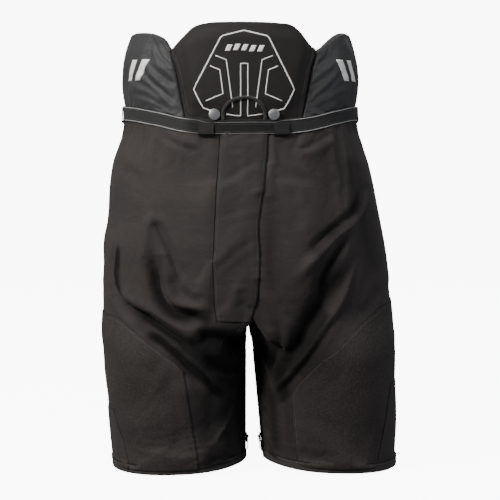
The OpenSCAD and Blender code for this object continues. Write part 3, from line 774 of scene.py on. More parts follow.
class Cloth:
    """A grid of points with outward normals that other pieces are sewn on to. a and b are the places of its
    columns and rows."""

    def __init__(self, grid, a, b, outward=1):
        self.a, self.b, self.outward = np.asarray(a, float), np.asarray(b, float), outward
        self.update(grid)

    def update(self, grid):
        self.grid = grid
        self.nrm = normals(grid) * self.outward

    def point(self, a, b, off=0.0):
        a, b, off = same_shape(a, b, off)
        place = []
        for value, steps in ((a, self.a), (b, self.b)):
            value = np.clip(value, steps[0], steps[-1])
            i = np.clip(np.searchsorted(steps, value, side="right") - 1, 0, len(steps) - 2)
            place.append((i, ((value - steps[i]) / (steps[i + 1] - steps[i]))[..., None]))
        (i, s), (j, t) = place
        p, n = (mix(mix(g[j, i], g[j, i + 1], s), mix(g[j + 1, i], g[j + 1, i + 1], s), t)
                for g in (self.grid, self.nrm))
        return p + unit(n) * off[..., None]


def fold_heights(points, normal, folds, line_of, taper=0.25):
    """How far folds push each point outward. A fold is a face (-1 back, 1 front), a route, a valley's depth
    (negative for a ridge) and half width, and the height and half width of any lip on its left."""
    flat, nrm = points.reshape(-1, 3), normal.reshape(-1, 3)
    total = np.zeros(len(flat))
    reach, end_fade, side_fade = 45, 10, 30
    for face, route, depth, width, *lip in folds:
        line = line_of(face, sweep_route(route, 10))
        near_box = np.all((flat > line.min(0) - reach) & (flat < line.max(0) + reach), axis=1).nonzero()[0]
        tangent = unit(np.gradient(line, axis=0))
        gap = flat[near_box, None, :] - line[None, :, :]
        near = np.argmin((gap ** 2).sum(-1), axis=1)
        d = gap[np.arange(len(near_box)), near]
        t = near / (len(line) - 1)
        across = np.cross(nrm[near_box], tangent[near])
        s, along = (d * across).sum(-1), (d * tangent[near]).sum(-1)
        away = np.linalg.norm(d - s[:, None] * across - along[:, None] * tangent[near], axis=1)
        fade = smooth(t / taper) * smooth((1 - t) / taper)
        fade = fade * np.exp(-(along / end_fade) ** 2) * np.exp(-(away / side_fade) ** 2)
        push = -depth * np.exp(-(s / width) ** 2)
        if lip:
            push = push + lip[0] * np.exp(-((s - 1.6 * width) / lip[1]) ** 2)
        total[near_box] += fade * push
    return total.reshape(points.shape[:2])


def ripples(points, seed, size, amount):
    """Slow unevenness, the sum of a few waves in different directions."""
    rng = np.random.default_rng(seed)
    out = np.zeros(points.shape[:2])
    for _ in range(9):
        k = rng.normal(size=3)
        k *= 2 * math.pi / (size * rng.uniform(0.6, 1.7)) / np.linalg.norm(k)
        out += np.sin(points @ k + rng.uniform(0, 6.28)) * rng.uniform(0.4, 1)
    return out * amount / 2.2


def settle(verts, faces, pins, cap, pressure=0.0, gravity=0.0, extra=0.02, frames=16, bending=0.6):
    """Lets cloth find its own shape by simulation. No point moves more than cap millimetres, and pins hold
    points, 0 to 1."""
    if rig.quick():
        return verts
    obj = new_object("settling", verts, faces)
    group = obj.vertex_groups.new(name="pins")
    for level in np.unique(np.round(pins, 1)):
        if level > 0:
            group.add(np.nonzero(np.round(pins, 1) == level)[0].tolist(), float(level), "REPLACE")
    mod = obj.modifiers.new("cloth", "CLOTH")
    for key, value in {"quality": 6, "mass": 0.2, "tension_stiffness": 25, "compression_stiffness": 25,
                       "shear_stiffness": 12, "bending_stiffness": bending, "air_damping": 2,
                       "vertex_group_mass": "pins", "pin_stiffness": 1, "shrink_min": -extra,
                       "use_pressure": bool(pressure), "uniform_pressure_force": pressure}.items():
        setattr(mod.settings, key, value)
    mod.settings.effector_weights.gravity = gravity
    mod.collision_settings.use_collision = False
    mod.point_cache.frame_start, mod.point_cache.frame_end = 1, frames
    scene = bpy.context.scene
    for f in range(1, frames + 1):
        scene.frame_set(f)
    shaped = obj.evaluated_get(bpy.context.evaluated_depsgraph_get()).data
    co = np.zeros(len(shaped.vertices) * 3)
    shaped.vertices.foreach_get("co", co)
    moved = co.reshape(-1, 3) * 1000 - verts
    mesh = obj.data
    bpy.data.objects.remove(obj)
    bpy.data.meshes.remove(mesh)
    scene.frame_set(1)
    size = np.linalg.norm(moved, axis=1, keepdims=True)
    moved = np.where(np.isfinite(moved), moved, 0)
    return verts + moved * np.minimum(1, cap / np.maximum(size, 1e-9))


# ---------------------------------------------------------------- bodies and record
SIDES = {-1: "left", 1: "right"}
CROTCH_X = 10.5
HIP_BEND = {s: ((CROTCH_X * MM, 0, -0.262), ((CROTCH_X + s * 50) * MM, 0, -0.330)) for s in SIDES}
KIDNEY_BEND = ((0, 0, 0.016), (0, 0, 0.05))
PAD_BEND = {"spine_pad": ((0, 0, -0.002), (0, 0, 0.032)), "kidney_pad_left": KIDNEY_BEND,
            "kidney_pad_right": KIDNEY_BEND}


def placed(obj, where, slot_name, *nodes):
    """Puts a piece on its body, or across a joint where cloth bends, and names its CAD nodes."""
    if isinstance(where, int):
        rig.blend(obj, "pelvis", "leg_" + SIDES[where], *HIP_BEND[where])
    elif where in PAD_BEND:
        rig.blend(obj, "pelvis", where, *PAD_BEND[where])
    else:
        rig.ride(obj, where)
    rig.slot(obj, slot_name)
    if nodes:
        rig.replaces(obj, *nodes)
    return obj


def made(obj, material, where, slot_name, *nodes):
    """Gives a finished piece its material, body, slot and CAD nodes."""
    dress(obj, material)
    return placed(obj, where, slot_name, *nodes)


# ---------------------------------------------------------------- the outer fabric of the seat and legs
LEG_ROWS, SEAT_ROWS = 94, 104
TURNS = np.linspace(-180, 180, 241)
ROWS = np.arange(LEG_ROWS + SEAT_ROWS + 1, dtype=float)


def shell_top(f):
    """The height where the outer fabric ends under the belt."""
    return belt_z(seat_turn(f)) + 3


def row_z(f, row):
    """The height of a row of the outer fabric's grid. row_at is the way back."""
    low = mix(hem(f) + 6, SEAT_BOTTOM, np.clip(row / LEG_ROWS, 0, 1))
    high = mix(SEAT_BOTTOM, shell_top(f), np.clip((row - LEG_ROWS) / SEAT_ROWS, 0, 1))
    return np.where(row <= LEG_ROWS, low, high)


def row_at(f, z):
    low = (z - hem(f) - 6) / (SEAT_BOTTOM - hem(f) - 6) * LEG_ROWS
    high = LEG_ROWS + (z - SEAT_BOTTOM) / (shell_top(f) - SEAT_BOTTOM) * SEAT_ROWS
    return np.where(z <= SEAT_BOTTOM, low, high)


# The centre back panel's seams, as places (z, x)
CENTRE_LEFT = ((-290, -40), (-275, -40), (-250, -42), (-169, -42), (-102, -38), (-32, -34), (0, -33))
CENTRE_RIGHT = ((-300, 9), (-283, 11), (-262, 15.5), (-250, 18), (-200, 20), (-147, 20), (-102, 26),
                (-32, 33), (0, 34))

# Folds of each side: face (-1 back, 1 front), route of (x, z), valley depth (negative for a ridge), half
# width, and the height and half width of the lip on its left, if it has one
FOLDS = {
    -1: [
        (-1, [(-174, -164), (-179, -203), (-176, -227), (-170, -246), (-157, -258), (-133, -271),
              (-111, -284), (-84, -303), (-58, -326)], 13.0, 5, 7.0, 13),
        (-1, [(-186, -190), (-190, -226), (-180, -256), (-160, -276), (-132, -288)], -3.5, 7),
        (-1, [(-150, -268), (-120, -284), (-92, -303), (-66, -326)], 5.0, 12),
        (-1, [(-140, -290), (-107, -313), (-80, -340), (-48, -376)], 7.5, 8, 3.0, 11),
        (-1, [(-120, -296), (-88, -318), (-60, -346), (-36, -380)], -5.0, 7),
        (-1, [(-126, -180), (-123, -205), (-119, -231), (-109, -254), (-92, -266), (-67, -271), (-44, -278)],
         13.0, 9, 6.5, 10),
        (-1, [(-122, -128), (-130, -150), (-134, -176), (-138, -214)], -5.5, 10),
        (-1, [(-124, -142), (-113, -155), (-98, -189), (-89, -218)], 4.2, 5, 2.6, 8),
        (-1, [(-96, -208), (-90, -232), (-74, -246), (-52, -252)], 4.0, 8, 2.5, 10),
        (-1, [(-124, -20), (-95, -38), (-80, -45), (-54, -52)], 3.6, 5, 2.6, 8),
        (-1, [(-60, -70), (-70, -120), (-62, -176)], 2.0, 14, 1.0, 14),
        (-1, [(-180, -60), (-150, -82), (-120, -90)], 1.8, 9, 1.0, 10),
        (-1, [(-74, -296), (-48, -302), (-20, -308), (4, -312)], 13.0, 13),
        (-1, [(-60, -322), (-40, -338), (-14, -344), (2, -342)], 6.0, 8, 3.0, 10),
        (-1, [(-86, -348), (-78, -400), (-69, -470)], -4.5, 13),
        (1, [(-160, -60), (-120, -86), (-80, -96), (-46, -92)], 2.8, 8, 1.6, 10),
        (1, [(-186, -170), (-150, -196), (-105, -216), (-60, -222)], 5.0, 9, 2.8, 12),
        (1, [(-178, -226), (-130, -258), (-85, -284), (-30, -296)], 6.0, 9, 3.0, 13),
        (1, [(-150, -300), (-110, -340), (-70, -390)], 3.0, 12, 1.6, 14),
    ],
    1: [
        (-1, [(174, -94), (156, -124), (130, -147), (106, -166), (82, -194)], 7.5, 7, 4.0, 10),
        (-1, [(158, -132), (123, -164), (100, -188), (62, -230)], -6.0, 8),
        (-1, [(146, -150), (123, -184), (110, -214), (97, -244)], 8.0, 8, 3.0, 11),
        (-1, [(160, -188), (143, -225), (127, -256), (106, -287), (82, -325), (64, -353), (46, -374),
              (27, -392)], -8.0, 4),
        (-1, [(166, -190), (152, -228), (134, -262), (112, -296), (86, -334), (60, -366)], -3.0, 13),
        (-1, [(126, -206), (110, -244), (92, -278), (74, -310), (54, -346)], 14.0, 14),
        (-1, [(42, -268), (52, -296), (44, -330), (34, -350)], 6.0, 8, 3.0, 10),
        (-1, [(30, -300), (48, -316), (60, -322), (72, -316)], 3.0, 6, 1.5, 8),
        (-1, [(190, -236), (176, -256), (150, -274)], 3.0, 8, 1.4, 9),
        (-1, [(130, -22), (96, -40), (60, -50)], 3.4, 5, 2.4, 8),
        (-1, [(50, -70), (70, -84), (96, -90)], 1.5, 8, 1.0, 10),
        (-1, [(60, -96), (74, -126), (70, -160)], 1.8, 12, 1.0, 12),
        (-1, [(44, -404), (60, -430), (64, -470)], 2.2, 9, 1.2, 10),
        (1, [(150, -56), (112, -84), (76, -98), (44, -90)], 2.8, 8, 1.6, 10),
        (1, [(190, -160), (160, -196), (112, -222), (64, -232)], 5.0, 9, 2.8, 12),
        (1, [(196, -236), (150, -266), (96, -290), (40, -300)], 6.0, 9, 3.0, 13),
        (1, [(176, -310), (140, -345), (104, -400)], 3.0, 12, 1.6, 14),
    ],
}
for side, seam in ((-1, CENTRE_LEFT), (1, CENTRE_RIGHT)):
    FOLDS[side].append((-1, [(x, z) for z, x in seam[::-1] if z > -280], 1.6, 4.5))

# Where the cloth lies in its own shade: face, route, strength (negative, as for a ridge) and half width
SHADES = {
    -1: [
        (-1, [(-170, -172), (-171, -200), (-170, -222), (-168, -240), (-165, -250), (-158, -256)], -1.8, 4.4),
        (-1, [(-168, -248), (-144, -263), (-127, -273), (-110, -284), (-95, -295), (-77, -309), (-56, -326),
              (-36, -346)], -1.4, 6.6),
        (-1, [(-84, -300), (-60, -318), (-36, -340), (-22, -360)], -0.65, 16),
        (-1, [(-138, -291), (-114, -303), (-93, -321), (-77, -337), (-60, -352), (-43, -368), (-24, -384)],
         -1.35, 5.2),
        (-1, [(-150, -272), (-100, -308), (-50, -352)], -0.38, 14),
        (-1, [(-124, -194), (-120, -231), (-112, -253), (-100, -265), (-85, -271), (-67, -270), (-40, -277)],
         -1.0, 7.0),
        (-1, [(-112, -184), (-113, -204), (-117, -230)], -0.55, 9),
        (-1, [(-125, -140), (-110, -172), (-99, -197), (-88, -226)], -0.5, 3.2),
        (-1, [(-66, -298), (-44, -303), (-20, -308), (6, -314)], -0.85, 17),
        (-1, [(-36, -300), (-22, -340), (-20, -388), (-24, -444), (-26, -540)], -0.8, 24),
        (-1, [(-52, -366), (-52, -420), (-46, -540)], -0.6, 12),
    ],
    1: [
        (-1, [(134, -180), (114, -228), (96, -266), (76, -306), (54, -346), (40, -370)], -0.98, 22),
        (-1, [(108, -256), (94, -290), (84, -318), (66, -346)], -0.8, 12),
        (-1, [(166, -112), (138, -142), (112, -166), (90, -190)], -0.62, 9),
        (-1, [(12, -270), (24, -310), (38, -346), (52, -376), (60, -392)], -0.85, 20),
        (-1, [(22, -320), (18, -370), (22, -440), (26, -560)], -0.72, 23),
        (-1, [(34, -370), (42, -430), (50, -540)], -0.85, 14),
        (-1, [(62, -384), (64, -430), (68, -540)], -0.45, 14),
        (-1, [(146, -50), (158, -100), (172, -160), (188, -224)], -0.5, 22),
        (-1, [(112, -24), (117, -103), (112, -170)], -0.36, 14),
        (-1, [(31, -76), (33, -150), (32, -240)], -0.38, 12),
    ],
}


def one_half(f, z):
    """Where a side's grid has cloth: above the seat's bottom, only on that side's half of the body."""
    return (z <= SEAT_BOTTOM + 0.01) | (np.abs(f) <= INSEAM + 0.01)


# Where guards lie behind the cloth: from and to turns and heights, and the thigh guards' turns and top
HIP_TURNS, HIP_HEIGHTS = (57.5, 126.5), (-226, -36)
TAILBONE_TURNS, TAILBONE_HEIGHTS = (-40, 21), (-246, -96)
THIGH_TURNS, THIGH_TOP = (-28, 103), -296
ON_GUARD, LOOSE_IN, LOOSE_OUT = -2.4, -15.0, 11.0     # how far the cloth may move in or out
AT_BELT_IN, AT_BELT_OUT = -1.2, 0.4


class Shell(Cloth):
    """One side's outer fabric."""

    def __init__(self, side):
        self.side = side
        f, row = np.meshgrid(TURNS, ROWS)
        self.f, self.z = f, row_z(f, row)
        base = half(side, f, self.z)
        super().__init__(base, TURNS, ROWS, side)
        push = fold_heights(base, self.nrm, FOLDS[side], self.line_of) + ripples(base, 5 + side, 90.0, 1.2)
        self.base, self.base_nrm = base, self.nrm
        u = 90 + 90 * f / INSEAM
        hip = between(u, *HIP_TURNS, 5) * between(self.z, *HIP_HEIGHTS, 14)
        thigh = between(f, *THIGH_TURNS, 8) * smooth((THIGH_TOP - self.z) / 12)
        tail = between(u, *TAILBONE_TURNS, 5) * between(self.z, *TAILBONE_HEIGHTS, 10)
        under_belt = smooth((belt_z(u) - 10 - self.z) / 24)
        self.guarded = np.maximum(np.maximum(hip, thigh), tail)
        self.lowest = mix(mix(AT_BELT_IN, LOOSE_IN, under_belt), ON_GUARD, self.guarded)
        self.highest = mix(AT_BELT_OUT, LOOSE_OUT, under_belt)
        self.exists = one_half(f, self.z)
        # painted shade: the SHADES routes and the deeper fold valleys mark where the cloth's colour is darkened to
        # stand in for shadow
        self.shade = np.clip(fold_heights(base, self.nrm, SHADES[side], self.line_of, 0.12), 0, 1)
        self.shade = np.maximum(self.shade, 0.6 * smooth((-4 - push) / 8))
        self.free = self.freedom(f, self.z, base)
        self.place(base + self.nrm * (push * self.free)[..., None])

    def line_of(self, face, route):
        """A fold's route (x, z) as points on the smooth surface."""
        x, z = route.T
        return half(self.side, turn_at(self.side, x, z, face), z)

    def freedom(self, f, z, base):
        """How freely the cloth folds: not at all at the hem, the belt, the centre seams, fly and zip."""
        centre = np.where(z > SEAT_BOTTOM, np.abs(base[..., 0] - sway(z)), 200)
        free = smooth((z - hem(f)) / 25) * smooth((shell_top(f) - z) / 22) * smooth(centre / 14)
        fly = smooth((base[..., 1]) / 20) * smooth((-FLY_BOTTOM + 20 + z) / 12)
        free = free * (1 - fly * smooth((40 - np.abs(base[..., 0])) / 12))
        return free * np.where(z < ZIP_TOP + 20, smooth((178 - np.abs(f)) / 14), 1)

    def place(self, grid):
        """Takes a new shape, kept clear of the guards inside it and of the belt."""
        off = ((grid - self.base) * self.base_nrm).sum(-1)
        fixed = np.maximum(np.minimum(off, self.highest), self.lowest)
        self.update(grid + self.base_nrm * (fixed - off)[..., None])

    def relax(self):
        """Settles the fabric on a coarser grid and adds what moved to this one."""
        coarse = self.grid[::2, ::2]
        there = self.exists[::2, ::2]
        free = np.where(there, self.free[::2, ::2], 0) * smooth((176 - np.abs(self.f[::2, ::2])) / 10)
        start = coarse.reshape(-1, 3)
        faces = grid_faces(*coarse.shape[:2], keep=whole_cells(there), flip=self.side < 0)
        end = settle(start, faces, np.clip(1 - 4 * free, 0.0, 1).ravel(), 4.5,
                     pressure=0.4, gravity=0.25, extra=0.03, frames=14, bending=0.35)
        moved = finer((end - start).reshape(coarse.shape) * smooth(3 * free)[..., None])
        inward = np.minimum((moved * self.base_nrm).sum(-1), 0)
        moved = moved - self.base_nrm * (inward * mix(0.35, 0.8, self.guarded))[..., None]
        self.place(self.grid + moved)

    def at(self, f, z, off=0.0):
        return self.point(f, row_at(np.asarray(f, float), np.asarray(z, float)), off)

    def at_x(self, x, z, off=0.0, face=-1):
        return self.at(turn_at(self.side, x, z, face), z, off)


shells = {side: Shell(side) for side in SIDES}
for shell in shells.values():
    shell.relax()


def at_back(x, z, off=0.0):
    """The sewn surface behind, on whichever side x lies."""
    x, z, off = same_shape(x, z, off)
    left = shells[-1].at_x(np.minimum(x, sway(z) - 0.01), z, off)
    right = shells[1].at_x(np.maximum(x, sway(z) + 0.01), z, off)
    return np.where((x < sway(z))[..., None], left, right)


def make_shell(side):
    s, name = shells[side], SIDES[side]
    obj = sheet_object("shell_" + name, s.grid, whole_cells(s.exists), side < 0, thickness=1.4, levels=0,
                       shade=s.shade)
    nodes = [f"seat_back_{name}", f"seat_front_{name}", f"groin_{name}", f"leg_shell_{name}"]
    made(obj, "shell", side, "shell_fabric", *nodes)
    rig.sheet(obj, flat=(0.62, 0.50), area=0.299, held="hung",
             rests_on=["waistband", "hip_plate_" + name, "thigh_plate_" + name])


def turned_in(base, height, roll=2.2, sides=(1, 1, 1, 1)):
    """How far a sewn-on panel stands off: its full height inside, rolled under at its left, right, low and
    high edges."""
    across, along = lengths(base, 1), lengths(base, 0)
    edges = (across, across[:, -1:] - across, along, along[-1:] - along)
    d = np.min([edge for use, edge in zip(sides, edges) if use], axis=0)
    return height * rounded(d, roll) - 0.5 * (1 - np.clip(d / 0.6, 0, 1))


# A near-black cord sunk along a seam: a painted shadow line standing in for the shade in the seam's groove.
def seam_shadow_line(name, points, where, slot_name, radius=0.5):
    made(tube_object(name, points, radius, 6), "seam", where, slot_name)


def stitches(name, lines, where, slot_name, pitch=3.4):
    """Rows of short stitches along lines of points."""
    length, radius = 2.3, 0.26
    runs = []
    for line in lines:
        d = lengths(line)
        for start in np.arange(1.5, d[-1] - length, pitch):
            places = start + length * np.array([0, 0.5, 1])
            runs.append(np.stack([np.interp(places, d, line[:, k]) for k in range(3)], -1))
    obj = tube_object(name, runs, np.array([radius * 0.7, radius, radius * 0.7]), 5)
    made(obj, "thread", where, slot_name)


# ---------------------------------------------------------------- panels sewn on to the seat and legs
# Soft creases of the centre panel: start (x, z), end (x, z) and depth
PANEL_CREASES = ((-38, -100, 10, -72, 0.9), (-30, -140, 16, -128, 0.5), (-36, -208, 8, -176, 0.6))


def panel_crease(x, z):
    total = 0.0
    for x1, z1, x2, z2, depth in PANEL_CREASES:
        run, rise = x2 - x1, z2 - z1
        d = ((x - x1) * rise - (z - z1) * run) / math.hypot(run, rise)
        t = ((x - x1) * run + (z - z1) * rise) / (run ** 2 + rise ** 2)
        wave = np.exp(-((d - 5) / 5) ** 2) - np.exp(-((d + 3) / 4) ** 2)
        total = total + depth * wave * smooth((t + 0.2) / 0.3) * smooth((1.2 - t) / 0.3)
    return total


def make_centre_panel():
    """The panel down the middle of the back, with painted shadow lines along its seams, and its stitches."""
    S, T = np.meshgrid(edge_steps(72, 3.2), edge_steps(250, 3.2))
    x0 = mix(-41.0, 20.0, S)
    z = mix(-276 - 6.5 * (x0 + 41) / 61, -24.0, T)
    x = mix(through(z, CENTRE_LEFT) + 0.4, through(z, CENTRE_RIGHT) - 0.4, S)
    inner = smooth(np.minimum(S, 1 - S) / 0.15)
    off = turned_in(at_back(x, z), 1.5, sides=(1, 1, 1, 0)) + panel_crease(x, z) * inner
    obj = sheet_object("seat_centre_panel", at_back(x, z, off))
    made(obj, "panel", -1, "shell_fabric", "seat_back_centre")
    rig.sheet(obj, flat=(0.085, 0.26), area=0.0212, held="stretched", rests_on=["shell_left", "shell_right"])
    zs = np.linspace(-279, -26, 110)
    left, right = through(zs, CENTRE_LEFT), through(zs, CENTRE_RIGHT)
    lines = [at_back(left - 0.5, zs, 0.25), at_back(right + 0.5, zs, 0.25)]
    seam_shadow_line("centre_panel_seam_shadows", lines, -1, "shell_fabric", 0.55)
    rows = [at_back(left + 4.0, zs, 1.6), at_back(right - 4.0, zs, 1.6)]
    stitches("centre_panel_stitches", rows, -1, "shell_fabric")


# Panels behind each leg. The wear panel: (x, z) along its top seam from the side inward, (z, x) up its inner
# seam, and its flat area. The side panel: (z, x) up its seam, its tip's height, and its size when laid flat
WEAR = {
    -1: {"top": ((-189, -272), (-169, -274), (-155, -280), (-141, -291), (-127, -302), (-111, -315),
                 (-94, -329),
                 (-84, -345)),
         "inner": ((-500, -62), (-453, -66), (-391, -76), (-345, -83)), "area": 0.0755,
         "outer": ((-500, -152), (-443, -167), (-409, -176), (-396, -180)), "tip": -404,
         "side_height": 90, "side_flat": (0.15, 0.10), "side_area": 0.0124},
    1: {"top": ((200, -258), (182, -263), (152, -276), (127, -295), (106, -322), (78, -362)),
        "inner": ((-500, 76), (-431, 71), (-378, 69), (-364, 76)), "area": 0.0899,
        "outer": ((-500, 184), (-426, 197), (-371, 205), (-360, 206)), "tip": -368,
        "side_height": 120, "side_flat": (0.15, 0.14), "side_area": 0.0204},
}


def outline_turn(side, table, z):
    """The turn where a seam given as places (z, x) lies at a height."""
    return turn_at(side, through(z, table), z)


def wear_top(side):
    """The turns and heights of the wear panel's top seam, in the order of their turns."""
    x, z = np.array(WEAR[side]["top"], float).T
    f = turn_at(side, x, z)
    order = np.argsort(f)
    return np.append(f[order], 0), np.append(z[order], z[order][-1] + 2)


def three_edges(shell, f, z, off, in_s=0, in_t=0):
    """Lines along a panel's left, top and right edges, or some cells in from them."""
    low, middle = slice(None, -in_t or None), slice(in_s, -in_s or None)
    return [shell.at(f[low, in_s], z[low, in_s], off), shell.at(f[-1 - in_t, middle], z[-1 - in_t, middle],
                                                                off),
            shell.at(f[low, -1 - in_s], z[low, -1 - in_s], off)]


def make_wear_panel(side):
    """The tough panel behind and beside each leg."""
    name, shell, plan = SIDES[side], shells[side], WEAR[side]
    width, height, stitch_in = 430, 200, 4.5
    s, t = edge_steps(width, 4.0), edge_steps(height, 3.6)
    S, T = np.meshgrid(s, t)
    corner = outline_turn(side, plan["inner"], np.array(plan["top"][-1][1]))
    f0 = mix(corner, -corner, S)
    z = mix(hem(f0) + 9, np.interp(-np.abs(f0), *wear_top(side)), T)
    edge = outline_turn(side, plan["inner"], z)
    f = mix(edge, -edge, S)
    grid = shell.at(f, z, turned_in(shell.at(f, z), 1.3, sides=(1, 1, 0, 1)))
    obj = sheet_object("wear_panel_" + name, grid, flip=side < 0)
    made(obj, "wear", side, "leg_fabric")
    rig.sheet(obj, flat=(0.45, 0.24), area=plan["area"], held="stretched", rests_on=["shell_" + name])
    seam_shadow_line("wear_panel_seam_shadow_" + name, three_edges(shell, f, z, 0.3), side, "leg_fabric", 0.5)
    inset = np.searchsorted(s * width, stitch_in), np.searchsorted(t * height, stitch_in)
    stitches("wear_panel_stitches_" + name, three_edges(shell, f, z, 1.35, *inset), side, "leg_fabric")


def make_side_panel(side):
    """The narrow panel down the outer side of each leg."""
    name, shell, plan = SIDES[side], shells[side], WEAR[side]
    S, T = np.meshgrid(edge_steps(90, 3.6), edge_steps(plan["side_height"], 3.6))
    z = mix(HEM_Z + 9, plan["tip"], T)
    edge = outline_turn(side, plan["outer"], z)
    f = mix(edge, -edge, S)
    grid = shell.at(f, z, 1.3 + turned_in(shell.at(f, z), 1.0, sides=(1, 1, 0, 1)))
    obj = sheet_object("side_panel_" + name, grid, flip=side < 0)
    made(obj, "shell", side, "leg_fabric")
    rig.sheet(obj, flat=plan["side_flat"], area=plan["side_area"], held="stretched",
             rests_on=["wear_panel_" + name])
    left, top, right = three_edges(shell, f, z, 1.5)
    line = np.concatenate([left, top[1:], right[::-1][1:]])
    seam_shadow_line("side_panel_seam_shadow_" + name, [line], side, "leg_fabric", 0.45)


HEM_PROFILE = ((-6.5, 0.2), (-5.8, 1.5), (-4.5, 1.9), (0, 1.9), (4.5, 1.9), (6.0, 1.4), (6.6, 0), (6.0, -2.2),
               (0, -2.8), (-5.5, -2.2), (-6.5, -0.6))


def make_hem_binding(side):
    """Folded webbing over the raw edge of each leg."""
    name, body = SIDES[side], "leg_" + SIDES[side]
    f = np.linspace(-174.8, 174.8, 260)
    turn, low = f * (1 - ZIP_GAP / 180), hem(f)
    wave = 0.5 * np.sin(f * 0.11 + side) + 0.35 * np.sin(f * 0.23)
    grid = np.array([leg(side, turn, low + 6.6 - h, off + 0.5 + 0.25 * wave) for h,
                     off in sweep_route(HEM_PROFILE, 3)])
    rows, n = grid.shape[:2]
    last = (rows - 1) * n
    faces = grid_faces(rows, n) + [(last + i, last + i + 1, i + 1, i) for i in range(n - 1)]
    faces += [[j * n for j in range(rows)], [j * n + n - 1 for j in range(rows)][::-1]]
    obj = edit_mesh(new_object("hem_binding_" + name, grid.reshape(-1, 3), faces, arc_uv(grid)), face_outward)
    made(obj, "hem", body, "hem_fabric", "hem_binding_" + name)
    stitches("hem_stitches_" + name, [leg(side, turn, low + 10.6, 2.5)], body, "hem_fabric", pitch=3.6)
    seam_shadow_line("hem_seam_shadow_" + name, [leg(side, turn, low + 13.4, 2.0)], body, "hem_fabric", 0.7)


def make_fly_facing(side):
    """The stitched strip beside the fly."""
    name, shell = SIDES[side], shells[side]
    fine = (0, 0.5, 1.2, 2.2)
    S, T = np.meshgrid(edge_steps(18, 2.4, fine), edge_steps(98, 3.0, fine))
    z = mix(FLY_BOTTOM, -20.0, T)
    x = sway(z) + side * mix(9.3, 27.0, S)
    grid = shell.at_x(x, z, turned_in(shell.at_x(x, z, 0, 1), 0.8, 1.2), 1)
    obj = sheet_object("fly_facing_" + name, grid, flip=side > 0)
    made(obj, "panel", "pelvis", "shell_fabric")
    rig.sheet(obj, flat=(0.0195, 0.098), held="stretched", rests_on=["shell_" + name])
    zs = np.linspace(-116, -22, 60)
    line = shell.at_x(sway(zs) + side * 25.2, zs, 0.95, 1)
    stitches("fly_stitches_" + name, [line], "pelvis", "shell_fabric")


# ---------------------------------------------------------------- linings
def make_lining(side):
    """One side's lining, inside the guards."""
    name, half_rows = SIDES[side], 40
    hem_off, waist_off, fly_off = -3.2, -4.6, -9.0
    f, row = np.meshgrid(np.linspace(-180, 180, 121), np.arange(2 * half_rows + 1.0))
    low = mix(hem(f) + 8, SEAT_BOTTOM, np.clip(row / half_rows, 0, 1))
    high = mix(SEAT_BOTTOM, shell_top(f) - 8, np.clip((row - half_rows) / half_rows, 0, 1))
    z = np.where(row <= half_rows, low, high)
    u = seat_turn(f)
    at_waist = mix(waist_off, fly_off, smooth((u - 150) / 15))
    off = mix(mix(hem_off, -LINER_IN, smooth((z - low.min(0)) / 30)), at_waist, smooth((z + 44) / 30))
    off = off + ripples(half(side, f, z), 30 + side, 60.0,
                        1.0) * smooth((z - hem(f)) / 40) * smooth((-30 - z) / 30)
    grid = np.where((z > SEAT_BOTTOM)[..., None], torso(side * u, z, off), leg(side, f, z, off))
    obj = sheet_object("lining_" + name, grid, whole_cells(one_half(f, z)), side < 0, thickness=0.9, levels=0)
    made(obj, "lining", side, "liner_fabric", "leg_liner_" + name)
    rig.sheet(obj, flat=(0.58, 0.48), area=0.255, held="hung", rests_on=["waistband"])


def make_crotch():
    """The strip of lining between the legs, and the tape over the seam outside it."""
    half_width, points = 20.5, 60
    X, Y = np.meshgrid(np.linspace(-half_width, half_width, 15), np.linspace(-128, 120, points))
    grid = np.stack([X + CROTCH_X - 0.5, Y, -262.6 + 7 * (1 - (X / half_width) ** 2)], -1)
    obj = sheet_object("crotch_lining", grid, thickness=1.0, levels=0)
    made(obj, "lining", "pelvis", "liner_fabric", "seat_liner")
    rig.sheet(obj, flat=(0.043, 0.255), area=0.0108, held="stretched",
             rests_on=["lining_left", "lining_right"])
    tape = np.stack([np.full(points, CROTCH_X - 1.0), np.linspace(-134, 125, points),
                     np.full(points, -260.4)], -1)
    made(strap("crotch_tape", tape, (0, 0, 1), 14, 1.2), "black_webbing", "pelvis", "shell_fabric")


# ---------------------------------------------------------------- straps
def strap(name, path, outward, width, thickness, closed=False):
    """Flat webbing with rounded edges along a path. outward is one direction, or one for each point."""
    sides, path = 20, np.asarray(path, float)
    d = unit(np.roll(path, -1, 0) - np.roll(path, 1, 0) if closed else np.gradient(path, axis=0))
    across = unit(np.cross(np.asarray(outward, float), d))
    out = np.cross(d, across)
    n = len(path)
    width = np.broadcast_to(np.asarray(width, float), (n,))[:, None]
    t = 2 * math.pi * np.arange(sides) / sides
    u, v = spow(np.cos(t), 0.35), spow(np.sin(t), 0.55)
    grid = (path[:, None] + across[:, None] * (u * width / 2)[..., None]
            + out[:, None] * (v * thickness / 2)[:, None])
    faces = grid_faces(n, sides, ring=True)
    last = (n - 1) * sides
    if closed:
        faces += [(last + i, last + (i + 1) % sides, (i + 1) % sides, i) for i in range(sides)]
    else:
        faces += ring_ends(0, sides, last)
    uv = np.stack(np.broadcast_arrays((u * width / 2 + v * 2) * MM, lengths(path)[:, None] * MM), -1)
    return edit_mesh(new_object(name, grid.reshape(-1, 3), faces, uv.reshape(-1, 2)), face_outward)


def waist_outward(u, z):
    """Horizontal direction out of the waist."""
    d = torso(u + 0.2, z) - torso(u - 0.2, z)
    return unit(np.stack([d[..., 1], -d[..., 0], np.zeros_like(d[..., 0])], -1))


BELT_MIDDLE = -5     # the belt lies in shade, and is pressed, round this x behind


def shade_middle(obj):
    """Shades the middle of the belt behind, below the spine pad."""
    half_width, most = 78, 0.75
    co = np.empty(3 * len(obj.data.vertices), np.float32)
    obj.data.vertices.foreach_get("co", co)
    x, y, _ = co.reshape(-1, 3).T * 1000
    add_shade(obj, most * smooth((half_width - np.abs(x - BELT_MIDDLE)) / 16) * (y < 0))


